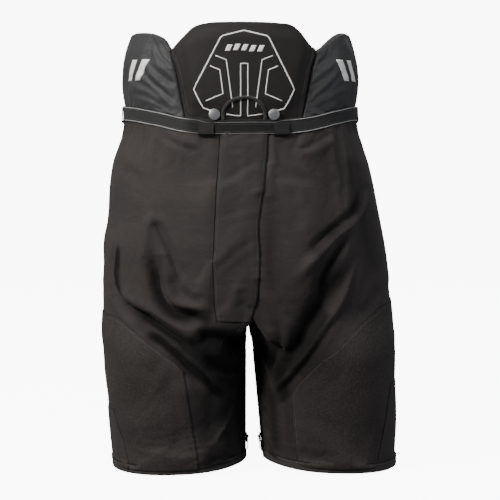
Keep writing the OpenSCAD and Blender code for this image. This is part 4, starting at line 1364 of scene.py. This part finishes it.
def make_belt():
    """The belt's webbing, a little slack between its loops, with its piping and its stitches."""
    end = float(front_angle(20.0, -FRONT_DIP))
    u = np.linspace(-end, end, 260)
    slack = 0.25 * np.sin(np.radians(u) * 7) + 0.18 * np.sin(np.radians(u) * 17 + 1)
    path = torso(u, belt_z(u), BELT_IN + BELT_T / 2)
    out = waist_outward(u, belt_z(u))
    path[:, 2] += slack
    belt = strap("belt_webbing", path, out, BELT_W, BELT_T - 0.3)
    shade_middle(belt)
    made(belt, "webbing", "pelvis", "webbing", "belt")
    face, up = path + out * (BELT_T / 2 - 0.05), np.array([0, 0, 1.0])
    depth, half_width = 2.6, 58
    dip = depth * smooth((half_width - np.abs(path[:, 0] - BELT_MIDDLE)) / 14) * (path[:, 1] < 0)

    def edge_lines(height):
        """Lines along the belt's lower and upper edge. The upper one dips under the spine pad."""
        return [face - height * up, face + (height - dip)[:, None] * up]

    piping_at, stitches_at, piping_radius = 8.7, 6.2, 0.55
    piping = tube_object("belt_piping_cords", edge_lines(piping_at), piping_radius, 8)
    shade_middle(piping)
    made(piping, "piping", "pelvis", "piping", "belt_piping")
    stitches("belt_stitches", edge_lines(stitches_at), "pelvis", "webbing", pitch=3.6)


def make_belt_tail():
    """The belt's free end in front of the buckle, and the keeper that holds it."""
    points, front_y = 60, float(through(-FRONT_DIP, FRONT)) + 5.7
    start_x, end_x, keeper_x, end_radius, tail_width = 22, -71.5, -52.0, 10.4, 18.6
    x = np.linspace(start_x, end_x, points)
    path = np.stack([x, np.full(points, front_y), np.full(points, -FRONT_DIP)], -1)
    at_end = np.clip((end_x + 10 - x) / end_radius, 0, 1)
    width = tail_width * np.sqrt(np.clip(1 - at_end ** 2, 0.05, 1))
    tail = strap("belt_free_end", path, (0, 1, 0), width, 1.5)
    made(tail, "webbing", "pelvis", "webbing", "belt_tail")
    half_h, inner, outer = 11.0, front_y - 2.0, front_y + 1.9
    t = 2 * math.pi * np.arange(48) / 48
    y = (inner + outer) / 2 + (outer - inner) / 2 * spow(np.sin(t), 0.35)
    ring = np.stack([np.full(48, keeper_x), y, -FRONT_DIP + half_h * spow(np.cos(t), 0.35)], -1)
    keeper = strap("belt_keeper_loop", ring, ring - ring.mean(0), 10, 1.0, closed=True)
    made(keeper, "black_webbing", "pelvis", "webbing", "belt_keeper")


# A belt loop's section, as places (height above the belt's middle, distance from the waist)
LOOP_PROFILE = ((-12.8, 0.8), (-12.0, 1.3), (-11.0, 2.4), (-10.1, 4.0), (-8.6, 4.9), (0, 5.1), (8.8, 4.9),
                (10.3, 3.9), (10.9, 2.4), (10.9, 1.0))


def make_belt_loops():
    loops, width, edge = [], 20.0, 0.485
    route = sweep_route(LOOP_PROFILE, 5)
    behind = [back_angle(side * 49.5, -BELT_DIP) for side in SIDES]
    turns = behind + [side * turn for side in SIDES for turn in (90.0, 140.0)]
    across = np.array([-0.5, -edge, -0.44, -0.25, 0, 0.25, 0.44, edge, 0.5])
    for n, u in enumerate(turns):
        u = float(u)
        step = float(np.linalg.norm(torso(u + 0.5, 0.0) - torso(u - 0.5, 0.0)))
        S, H = np.meshgrid(u + across * width / step, route[:, 0])
        off = route[:, 1:2] - 0.35 * (np.abs(across)[None, :] > edge + 0.005)
        loops.append(sheet_object(f"belt_loop_{n}", torso(S, belt_z(S) + H, off), thickness=1.2))
    made(join("belt_loops_webbing", loops), "black_webbing", "pelvis", "loop_webbing", "belt_loops")


# ---------------------------------------------------------------- padded pieces
def pillow(name, front, back, materials, sim=None):
    """A closed padded form from a front and a back grid that share their border. The front's cloth turns over
    the edge by a few cells. Returns the object and its front grid."""
    turn_over, held = 3, 4
    rows, cols = front.shape[:2]
    other = np.arange(rows * cols).reshape(rows, cols)
    inner = np.zeros((rows, cols), bool)
    inner[1:-1, 1:-1] = True
    other[inner] = rows * cols + np.arange(inner.sum())
    verts = np.concatenate([front.reshape(-1, 3), back[inner]])
    cells = grid_faces(rows, cols)
    faces = cells + [tuple(other.ravel()[k] for k in reversed(cell)) for cell in cells]
    i, j = np.meshgrid(np.arange(cols - 1), np.arange(rows - 1))
    inside = np.minimum(np.minimum(i, j), np.minimum(cols - 2 - i, rows - 2 - j)) >= turn_over
    if sim:
        border = np.ones((rows, cols))
        border[held:-held, held:-held] = 0
        verts = settle(verts, faces, np.concatenate([border.ravel(), np.ones(int(inner.sum()))]), **sim)
    flat = arc_uv(front)
    obj = new_object(name, verts, faces, np.concatenate([flat, flat.reshape(rows, cols, 2)[inner]]))
    dress(obj, *materials)
    marks = np.concatenate([np.zeros(len(cells)), inside.ravel()]).astype(np.int32)
    obj.data.polygons.foreach_set("material_index", marks)
    smoother(obj)
    apply_modifiers(obj)
    return obj, verts[:rows * cols].reshape(rows, cols, 3)


SPINE_FOOT = -60.0       # a height below the pads, where their width no longer changes
SPINE_WIDTH = ((-12, 78), (30, 86), (60, 92), (NOTCH_TOP, 98), (102, 86), (113, 72), (SPINE_TOP, 50))
# The pad's top outline, as places (x, z). Its left shoulder slopes a little more than its right one
SPINE_RIM = ((-98, NOTCH_TOP), (-86, 96.5), (-77, 104), (-63, 116), (-42, SPINE_TOP - 1.5),
             (-20, SPINE_TOP - 0.4),
             (20, SPINE_TOP - 0.4), (42, SPINE_TOP - 1.5), (59, 119.6), (72, 111), (84, 98), (98, NOTCH_TOP))


def spine_half(z):
    """The pad's half width."""
    return through(z, SPINE_WIDTH)


def spine_edge(z):
    """The turn of the pad's side edge."""
    return back_angle(spine_half(np.minimum(z, NOTCH_TOP)), z)


def spine_rim(u):
    return through(98 * u / spine_edge(SPINE_FOOT), SPINE_RIM)


PAD_LOW = 8.6
SPINE_TURN = float(spine_edge(SPINE_FOOT))


class SpinePad(Cloth):
    """The pad's face: s runs across it and t up it."""

    def __init__(self):
        s, t = edge_steps(190, 3.6), edge_steps(134, 3.6)
        S, T = np.meshgrid(s, t)
        u0 = mix(-SPINE_TURN, SPINE_TURN, S)
        low = belt_z(u0) + PAD_LOW
        z = mix(low, spine_rim(u0), T)
        u = mix(-spine_edge(z), spine_edge(z), S)
        side = spine_half(np.minimum(z, NOTCH_TOP)) - np.abs(torso(u, z)[..., 0])
        rim, up = (spine_rim(u0) - z) * 0.85, z - low
        d = np.minimum(side, rim)
        flange, thickest = 2.4, 10.2      # the rim lies a flange's depth inside the torso's surface
        groove = 1.5 * np.exp(-((side - 7.0) / 1.3) ** 2) * smooth((rim - 4) / 6)
        dome = 5.4 * smooth((side - 8) / 20) * smooth((rim - 3) / 16)
        front = 4.2 * rounded(d, 2.6) - flange + dome - groove
        front = mix(np.minimum(front, 0.5), front, smooth(up / 32))
        front = np.where(up < 3, np.minimum(front, 3.1 * rounded(up, 2) - flange), front)
        back = -flange - thickest * rounded(np.minimum(d, up), 12)
        back = mix(np.maximum(back, -4.5), back, smooth(up / 20))
        self.back_grid = torso(u, z, back)
        super().__init__(torso(u, z, front), s, t, 1)

    def at_x(self, x, z, off=0.0):
        x, z = same_shape(x, z)
        s = (back_angle(x, z) / spine_edge(z) + 1) / 2
        u0 = (2 * s - 1) * SPINE_TURN
        low = belt_z(u0) + PAD_LOW
        return self.point(s, (z - low) / (spine_rim(u0) - low), off)


def dense(route, step=2.5):
    """A route of straight runs as close points."""
    route = np.array(route, float)
    out = [route[:1]]
    for a, b in zip(route[:-1], route[1:]):
        n = max(2, int(np.linalg.norm(b - a) / step))
        out.append(a + (b - a) * np.linspace(0, 1, n + 1)[1:, None])
    return np.concatenate(out)


def mirrored(route):
    return [(-x, z) for x, z in route]


# The printed lines, as places (x, z) on the spine pad
SHIELD = [(-42, 2.5), (-53, 6.5), (-64.5, 31.5), (-30, 100), (-27, 102.5), (0, 109.5), (29, 102.5),
          (32, 99.5),
          (65, 31.5), (53, 6), (37, 1)]
INNER_LINE = [(-36.5, 76), (-22.8, 70.5), (-16.3, 20), (-15, 7)]
OUTER_LINE = [(-43.5, 62.5), (-31, 57), (-27, 25.5), (-49, 16)]
SLOT = [(-23, -1.6), (-13, -3.4), (-4.6, -4), (-4.6, 65.5), (4.6, 65.5), (4.6, -4), (13, -3), (25, -1.2)]


def print_lines(pad):
    """The printed outlines: a thick shield and thin lines inside it."""
    thick, thin, tubes = 1.0, 0.72, []
    inner = [INNER_LINE, mirrored(INNER_LINE), OUTER_LINE, mirrored(OUTER_LINE), SLOT]
    for n, (route, radius) in enumerate([(SHIELD, thick)] + [(route, thin) for route in inner]):
        x, z = dense(route).T
        a, b = pad.at_x(x, z, 0.12), pad.at_x(x, z, 1.12)
        tubes.append(tube_object(f"line_{n}", [a], radius, 8, flat=0.38, up=b - a))
    made(join("spine_print_lines", tubes), "print", "spine_pad", "silver_print", "spine_trim")


def print_bars(pad):
    """Five plain slanted bars in a row."""
    bars = []
    s, t = np.meshgrid(np.linspace(0, 1, 6), np.linspace(0, 1, 6))
    for n in range(5):
        x = -24.5 + 10.2 * n + s * 6.4 + t * 3.4
        z = 82 + 8.5 * t + 0.9 * np.sin(n * 1.3)
        bars.append(sheet_object(f"bar_{n}", pad.at_x(x, z, 0.35), thickness=0.35, levels=0))
    made(join("spine_print_bars", bars), "print", "spine_pad", "silver_print")


def make_spine_pad():
    """The cushion, what is printed and stitched on it, and the tuft of lining at its left shoulder."""
    pad = SpinePad()
    obj, grid = pillow("spine_pad_cushion", pad.grid, pad.back_grid, ("spine", "lining"),
                       dict(cap=1.6, pressure=1.6, extra=0.006, frames=8, bending=3.0))
    pad.update(grid)
    placed(obj, "spine_pad", "spine_fabric", "spine_cover", "spine_lining")
    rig.padded(obj, 0.8)
    print_lines(pad)
    print_bars(pad)
    z = np.linspace(80, 88.5, 12)
    tuft_path = torso(back_angle(94 + (z - 80) * 0.75, z), z, -5.5)
    made(strap("lining_tuft", tuft_path, (0, -1, 0.3), 5.0, 2.6), "lining", "spine_pad", "spine_fabric")
    for e in SIDES:
        z = np.linspace(0, 78, 60)
        line = pad.at_x(e * (spine_half(z) - 7.0), z, 0.1)
        stitches(f"spine_stitches_{SIDES[e]}", [line], "spine_pad", "spine_fabric", pitch=3.0)


def make_hanging_loop():
    """A limp cord that leaves the waist behind the belt and goes back in."""
    half_width, foot_z, top_z, radius = 28.5, -3.6, 20, 2.3
    a = np.radians(np.linspace(-14, 194, 90))
    x = half_width * spow(np.cos(a), 0.8)
    z = np.where(np.sin(a) > 0, mix(foot_z, top_z, np.sin(a)), foot_z + 24 * np.sin(a))
    lean = mix(3.8, 9.8, smooth((z - foot_z) / 20))
    path = np.stack([x, through(z, BACK) - lean + 1.2 * (x / half_width) ** 2, z], -1)
    path[:, 2] += 0.5 * np.sin(x * 0.16 + 0.6)
    obj = tube_object("hanging_loop_cord", [path], radius, 14)
    made(obj, "cord", "hanging_loop", "loop_cord", "hanging_loop")
    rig.cord(obj, exit=tuple(path[0] * MM), length=float(lengths(path)[-1]) * MM, diameter=0.0046,
            far_end="object", stiffness="limp", lay="loose", path=(path * MM).tolist())


KIDNEY_FRONT = 138.0
# The pads' top edges, as places (share of the way to the front, z)
KIDNEY_RIM = {
    -1: ((0, 86), (0.025, 92), (0.052, 99), (0.09, 104.5), (0.18, 110), (0.37, 113), (0.5, 113.5), (0.6, 110),
         (0.8, 80), (0.9, 52), (1, 26)),
    1: ((0, 85), (0.05, 90), (0.1, 97), (0.18, 106), (0.27, 112), (0.4, 114), (0.5, 113.5), (0.6, 110),
        (0.8, 80), (0.9, 52), (1, 26)),
}


def kidney_rim(side, u):
    """The pad's top edge, from the spine pad round to the front."""
    near = kidney_near(SPINE_FOOT)
    return through((u - near) / (KIDNEY_FRONT - near), KIDNEY_RIM[side])


def kidney_near(z):
    """The turn of the pad's edge beside the spine pad."""
    return spine_edge(np.clip(z, -12, NOTCH_TOP)) + 0.5


# Creases that run up from the seam beside the spine pad: a face, a route of (turn, z) and sizes as in FOLDS
CREASES = [
    (-1, [(31, 10), (38, 26), (45, 40), (52, 52), (60, 60)], 3.4, 3.2, 2.6, 4),
    (-1, [(33, 4), (42, 14), (52, 24), (66, 30)], 2.8, 3.4, 2.0, 4.5),
    (-1, [(32, 34), (38, 46), (44, 56), (52, 72)], 3.2, 3.2, 2.4, 4),
    (-1, [(34, 58), (39, 70), (44, 80), (48, 96)], 2.6, 3.0, 2.0, 4),
    (-1, [(32, 22), (40, 38), (46, 50), (50, 60)], -2.2, 3.0),
    (-1, [(36, 18), (48, 34), (60, 44), (78, 52)], 2.2, 4.5, 1.6, 6),
    (-1, [(33, 46), (38, 56), (42, 64), (46, 78)], -2.0, 2.8),
    (-1, [(120, 8), (112, 30), (104, 44)], 2.4, 4.0, 1.6, 5),
]


class KidneyPad(Cloth):
    """One pad's face: s runs from left to right and t up it."""

    def __init__(self, side):
        self.side, width = side, 275
        s, t = edge_steps(width, 4.2), edge_steps(100, 3.6)
        if side < 0:
            s = 1 - s[::-1]
        S, T = np.meshgrid(s, t)
        K = self.from_spine(S)
        self.near = float(kidney_near(SPINE_FOOT))
        u0 = mix(self.near, KIDNEY_FRONT, K)
        low, rim = belt_z(u0) + PAD_LOW, kidney_rim(side, u0)
        z = mix(low, rim, T)
        u = mix(kidney_near(z), KIDNEY_FRONT, K)
        up = z - low
        d = np.minimum(np.minimum(K * width, (1 - K) * width), (rim - z) * 0.9)
        flange, thickest = 3.0, 10.4
        front = 3.6 * rounded(d, 4.5) - flange + 1.6 * smooth((d - 4) / 22)
        front = mix(np.minimum(front, 0.4), front, smooth(up / 26))
        front = np.where(up < 3, np.minimum(front, 3.5 * rounded(up, 2) - flange), front)
        self.back_grid = torso(side * u, z, -flange - thickest * rounded(np.minimum(d, up), 11))
        base = torso(side * u, z, front)
        super().__init__(base, s, t, 1)
        push = fold_heights(base, self.nrm, CREASES, self.line_of) * (0.75 if side < 0 else 0.3)
        push = (push + ripples(base, 50 + side, 34.0, 0.5)) * (smooth(d / 5) * smooth(up / 8))
        self.update(base + self.nrm * push[..., None])

    def from_spine(self, s):
        """The share of the way from the spine pad to the front, or from that share back to s."""
        return s if self.side > 0 else 1 - s

    def line_of(self, face, route):
        turn, z = route.T
        return torso(self.side * turn, z, 1.0)

    def at_turn(self, turn, height, off):
        near = kidney_near(height)
        k = (turn - near) / (KIDNEY_FRONT - near)
        u0 = mix(self.near, KIDNEY_FRONT, k)
        low = belt_z(u0) + PAD_LOW
        return self.point(self.from_spine(k), (height - low) / (kidney_rim(self.side, u0) - low), off)


def make_kidney_pad(side):
    """The cushion, two printed bars and a row of stitches inside its rim."""
    name, body, pad = SIDES[side], "kidney_pad_" + SIDES[side], KidneyPad(side)
    obj, grid = pillow("kidney_pad_cushion_" + name, pad.grid, pad.back_grid, ("kidney", "lining"),
                       dict(cap=2.0, pressure=1.0, extra=0.025, frames=10, bending=0.25))
    pad.update(grid)
    placed(obj, body, "kidney_fabric", "kidney_cover_" + name)
    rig.padded(obj, 0.7)
    bars = []
    p, q = np.meshgrid(np.linspace(0, 1, 5), np.linspace(0, 1, 14))
    for n in range(2):
        bar = pad.at_turn(65.2 - 10 * n - 6.0 * q + p * 5.6, mix(45.0, 73.0, q), 0.45)
        bars.append(sheet_object(f"bar_{n}", bar, thickness=0.35, levels=0, flip=side < 0))
    made(join("kidney_print_" + name, bars), "print", body, "silver_print", "kidney_emblem_" + name)
    turn = np.linspace(pad.near + 6, KIDNEY_FRONT - 3, 160)
    line = pad.at_turn(turn, kidney_rim(side, turn) - 6.5, 0.2)
    stitches("kidney_stitches_" + name, [line], body, "kidney_fabric", pitch=3.2)


# ---------------------------------------------------------------- foams
def foam_slab(name, width, height, place, off_in, off_out, body, node):
    """A foam slab with rounded edges between two offsets from a surface. place gives the surface's points."""
    fine = (0, 0.8, 2, 4)
    S, T = np.meshgrid(edge_steps(width, 8, fine), edge_steps(height, 8, fine))
    rise = (off_out - off_in) / 2 * rounded(nearest_rim(S, T, width, height), 4.0)
    middle = (off_in + off_out) / 2
    obj, _ = pillow(name, place(S, T, middle + rise), place(S, T, middle - rise), ("foam", "foam"))
    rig.padded(placed(obj, body, "foam", node), 0.9)


def make_side_foams(side):
    name = SIDES[side]

    def on_hip(S, T, off):
        return torso(side * 92 + mix(-34, 34, S), mix(-222.0, -40.0, T), off)

    def on_thigh(S, T, off):
        return leg(side, mix(-25, 100, S if side > 0 else 1 - S), mix(HEM_Z + 20, -308.0, T), off)

    def on_kidney(S, T, off):
        k, front = (S if side > 0 else 1 - S), KIDNEY_FRONT - 1.2
        u0 = mix(float(kidney_near(SPINE_FOOT)) + 1.2, front, k)
        z = mix(belt_z(u0) + PAD_RISE + 3, kidney_rim(side, u0) - 5, T)
        return torso(side * mix(kidney_near(z) + 1.2, front, k), z, off)

    foam_slab("hip_foam_pad_" + name, 230, 182, on_hip, -FOAM_IN, -FOAM_OUT, "pelvis", "hip_foam_" + name)
    foam_slab("thigh_foam_pad_" + name, 300, 166, on_thigh, -FOAM_IN, -FOAM_OUT, "leg_" + name,
              "thigh_foam_" + name)
    foam_slab("kidney_foam_pad_" + name, 260, 90, on_kidney, -11.0, -5.0, "kidney_pad_" + name,
              "kidney_foam_" + name)


def make_back_foams():
    def on_tailbone(S, T, off):
        return torso(mix(-19, 19, S), mix(-240.0, -102.0, T), off)

    def on_spine(S, T, off):
        u0 = mix(-SPINE_TURN, SPINE_TURN, S) * 0.95
        z = mix(belt_z(u0) + PAD_RISE + 4, spine_rim(u0) - 5, T)
        return torso(mix(-spine_edge(z), spine_edge(z), S) * 0.95, z, off)

    foam_slab("tailbone_foam_pad", 120, 138, on_tailbone, -FOAM_IN, -FOAM_OUT, "pelvis", "tailbone_foam")
    foam_slab("spine_foam_pad", 175, 115, on_spine, -10.4, -4.8, "spine_pad", "spine_foam")


# ---------------------------------------------------------------- waistband and fly
def make_waistband():
    """The padded band behind the belt, with the two flaps in front that carry the buttons."""
    end, length, middle_off = float(front_angle(9.4, 0.0)), 880.0, -1.6
    S, T = np.meshgrid(edge_steps(length, 5.0, (0, 0.6, 1.6, 3)), edge_steps(24, 2.5, (0, 0.6, 1.4, 2.4)))
    u = mix(-end, end, S)
    top = mix(belt_z(u) + 7.4, 30.0, smooth((np.abs(u) - 141) / 7))
    z = mix(belt_z(u) - 4, top, T)
    d = np.minimum(np.minimum(S, 1 - S) * length, np.minimum(z - belt_z(u) + 4, top - z))
    r = rounded(d, 1.8)
    front, back = torso(u, z, middle_off + 1.7 * r), torso(u, z, middle_off - 1.6 * r)
    obj, _ = pillow("waistband_band", front, back, ("hem", "lining"))
    placed(obj, "pelvis", "shell_fabric", "waistband")
    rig.padded(obj, 0.7)
    flap = np.linspace(149, float(front_angle(12.5, 0.0)), 50)
    rows = [torso(e * flap, height, 0.35) for e in SIDES for height in (26.6, 8.6)]
    stitches("waistband_stitches", rows, "pelvis", "shell_fabric", pitch=3.2)


def make_tongue():
    """The channelled flap behind the lace."""
    low, high, width, channel, middle_off = -132.0, 10.0, 64, 17.75, -6.0
    fine = (0, 0.6, 1.4, 2.4, 3.6)
    S, T = np.meshgrid(edge_steps(66, 3.0, fine), edge_steps(high - low, 2.0, fine))
    z = mix(low, high, T)
    edge = front_angle(32.0, z)
    u = mix(edge, 360 - edge, S)
    d = nearest_rim(S, T, width, high - low)
    r = rounded(d, 2.5)
    channels = 0.9 * np.abs(np.sin(math.pi * (z - low) / channel)) ** 0.6 * smooth((d - 2) / 5)
    front, back = torso(u, z, middle_off + r * (0.3 + channels)), torso(u, z, middle_off - r)
    obj, _ = pillow("fly_tongue_pad", front, back, ("tongue", "lining"))
    placed(obj, "pelvis", "tongue_fabric", "fly_tongue")
    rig.padded(obj, 0.5)


EYELET_ROWS = (-32, -52, -72, -92, -110)
# The lace's top run, between the first two eyelets: x, distance in front of the body, and z
LACE_TOP = ((-17, 0.4, -32), (-14.5, 3.0, -32), (-7, 4.0, -31), (0, 4.6, -31.2), (7, 4.0, -31),
            (14.5, 3.0, -32),
            (17, 0.4, -32))


def strand_points(start, lift):
    """One strand's way down: from an eyelet on side start, across to the other side at each row."""
    points, last = [], len(EYELET_ROWS) - 2
    for i, (z0, z1) in enumerate(zip(EYELET_ROWS[:-1], EYELET_ROWS[1:])):
        e = start * (1 if i % 2 == 0 else -1)
        if i == 0:
            points += [(e * 17.2, 0.4, z0), (e * 15.6, 2.9, mix(z0, z1, 0.06))]
        points += [(e * 11.5, 3.5, mix(z0, z1, 0.2)), (0, lift, mix(z0, z1, 0.5)),
                   (-e * 11.5, 3.5, mix(z0, z1, 0.8))]
        if i == last:
            points += [(-e * 15.6, 2.9, mix(z0, z1, 0.94)), (-e * 17.2, 0.4, z1)]
        else:
            points += [(-e * 15.4, 3.1, mix(z0, z1, 0.95))]
    return points


def make_lace():
    """Two strands that cross at each row and pass through the flaps' eyelets."""
    routes = []
    for points in (strand_points(1, 5.2), strand_points(-1, 2.6)):
        on_body = [(x + float(sway(z)), float(through(z, FRONT)) + y, z) for x, y, z in points]
        routes.append(sweep_route(on_body, 7))
    front_y = float(through(EYELET_ROWS[0], FRONT))
    routes.append(sweep_route([(x, front_y + y, z) for x, y, z in LACE_TOP], 8))
    made(tube_object("fly_lace_cord", routes, 1.35, 10, flat=0.8), "lace", "pelvis", "lace_cotton",
         "fly_lace")


# ---------------------------------------------------------------- zips
def make_zip(side):
    """The two tapes and the two rows of coiled teeth inside a leg's slit."""
    name, body = SIDES[side], "leg_" + SIDES[side]
    z0 = float(hem(180.0)) + 4
    foot, head = leg(side, 180.0, z0), leg(side, 180.0, z0 + ZIP_LENGTH)
    up = unit(head - foot)
    out = unit(np.array([-side, 0, side * up[0] / up[2]]))
    axes = np.stack([np.cross(out, up), out, up])
    pitch, tapes, coils = 2.7, [], []
    for e in SIDES:
        S, T = np.meshgrid(np.linspace(0.9, 9.5, 8), np.linspace(0, ZIP_LENGTH, 40))
        tape = foot + np.stack([e * S, np.full_like(S, -0.8), T], -1) @ axes
        tapes.append(sheet_object(f"tape_{e}", tape, thickness=0.7, levels=0, flip=e < 0))
        t = np.arange(0, ZIP_LENGTH, pitch / 10)
        phase = t * 2 * math.pi / pitch + (math.pi if e > 0 else 0)
        coil = np.stack([e * 0.95 + 1.0 * np.cos(phase), 0.05 + 0.75 * np.sin(phase), t], -1)
        coils.append(foot + coil @ axes)
    made(join("zip_tapes_" + name, tapes), "zip_tape", body, "zip_tape", "zip_" + name)
    made(tube_object("zip_coils_" + name, coils, 0.36, 5), "zip_teeth", body, "zip_tape")


# ---------------------------------------------------------------- everything
for side in SIDES:
    for make in (make_shell, make_wear_panel, make_side_panel, make_hem_binding, make_lining, make_kidney_pad,
                 make_zip):
        make(side)
make_centre_panel()
make_crotch()
for side in SIDES:
    make_fly_facing(side)
make_belt()
make_belt_tail()
make_belt_loops()
make_spine_pad()
make_hanging_loop()
for side in SIDES:
    make_side_foams(side)
make_back_foams()
make_waistband()
make_tongue()
make_lace()


def both_sides(*parts):
    return [f"{part}_{name}" for part in parts for name in SIDES.values()]


CAD_MATERIALS = {
    "chrome": ["back_buttons", "front_buttons"],
    "buckle": ["buckle_frame", "buckle_lever"],
    "steel": ["buckle_pin"],
    "eyelet": ["fly_eyelets"],
    "zip_metal": both_sides("zip_slider", "zip_pull"),
    "plate": ["tailbone_plate", "spine_plate"] + both_sides("hip_plate", "thigh_plate", "kidney_plate"),
}
for material, nodes in CAD_MATERIALS.items():
    for node in nodes:
        dress(frame["nodes"][node], material)


# ---------------------------------------------------------------- light and floor
def area_light(name, azimuth, elevation, distance, size, power, color=(1, 1, 1)):
    data = bpy.data.lights.new(name, "AREA")
    data.energy, data.color, data.size = power, color, size
    light = bpy.data.objects.new(name, data)
    a, e = math.radians(azimuth), math.radians(elevation)
    toward = Vector((math.sin(a) * math.cos(e), -math.cos(a) * math.cos(e), math.sin(e)))
    light.location = toward * distance + Vector(CAMERA_TARGET)
    light.rotation_euler = (-toward).to_track_quat("-Z", "Y").to_euler()
    bpy.context.scene.collection.objects.link(light)


area_light("key", -46, 32, 2.8, 0.8, 98, (1.0, 0.965, 0.93))
area_light("fill", 68, 12, 3.2, 1.6, 30, (0.95, 0.96, 1.0))
area_light("top", -20, 72, 2.6, 1.2, 26)
area_light("behind", 165, 35, 3.4, 2.0, 20)

world = bpy.data.worlds.new("studio")
world.use_nodes = True
world.node_tree.nodes["Background"].inputs["Color"].default_value = (0.95, 0.96, 1.0, 1)
world.node_tree.nodes["Background"].inputs["Strength"].default_value = 0.13
bpy.context.scene.world = world


def make_floor():
    """A wide pale floor, and a round wall that curves up from it far behind the object on every side."""
    mat, tree, bsdf = shader("floor_paper", (0.92, 0.92, 0.92), 0.9)
    m = Maker(tree, "Object")
    paper = m.ramp(m.noise(3.0, 3.0), [(0.3, (0.90, 0.90, 0.90)), (0.7, (0.94, 0.94, 0.94))])
    m.link(paper, bsdf.inputs["Base Color"])
    bsdf.inputs["Emission Color"].default_value = (1, 1, 1, 1)
    bsdf.inputs["Emission Strength"].default_value = 9.0
    turn = np.radians(np.arange(0, 360, 5))
    wall = sweep_route([(5000, 0), (6000, 150), (7200, 900), (7800, 2400), (8000, 9000)], 10)
    for name, profile in {"floor": [(0.5, 0), (2500, 0), (5000, 0)], "backdrop": wall}.items():
        grid = np.array([[(r * math.cos(t), r * math.sin(t), HEM_Z - 1.5 + z) for t in turn] for r,
                         z in profile])
        obj = new_object(name, grid.reshape(-1, 3), grid_faces(*grid.shape[:2], True))
        obj.data.materials.append(mat)
        obj.visible_diffuse = obj.visible_glossy = False
        obj.visible_shadow = name == "floor"
        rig.stage(obj)


make_floor()

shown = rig.bounds()
with open("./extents.json", "w") as out:
    json.dump({"cad": [[float(v) for v in corner] for corner in cad_box],
               "visual": [[float(v) for v in corner] for corner in shown]}, out)
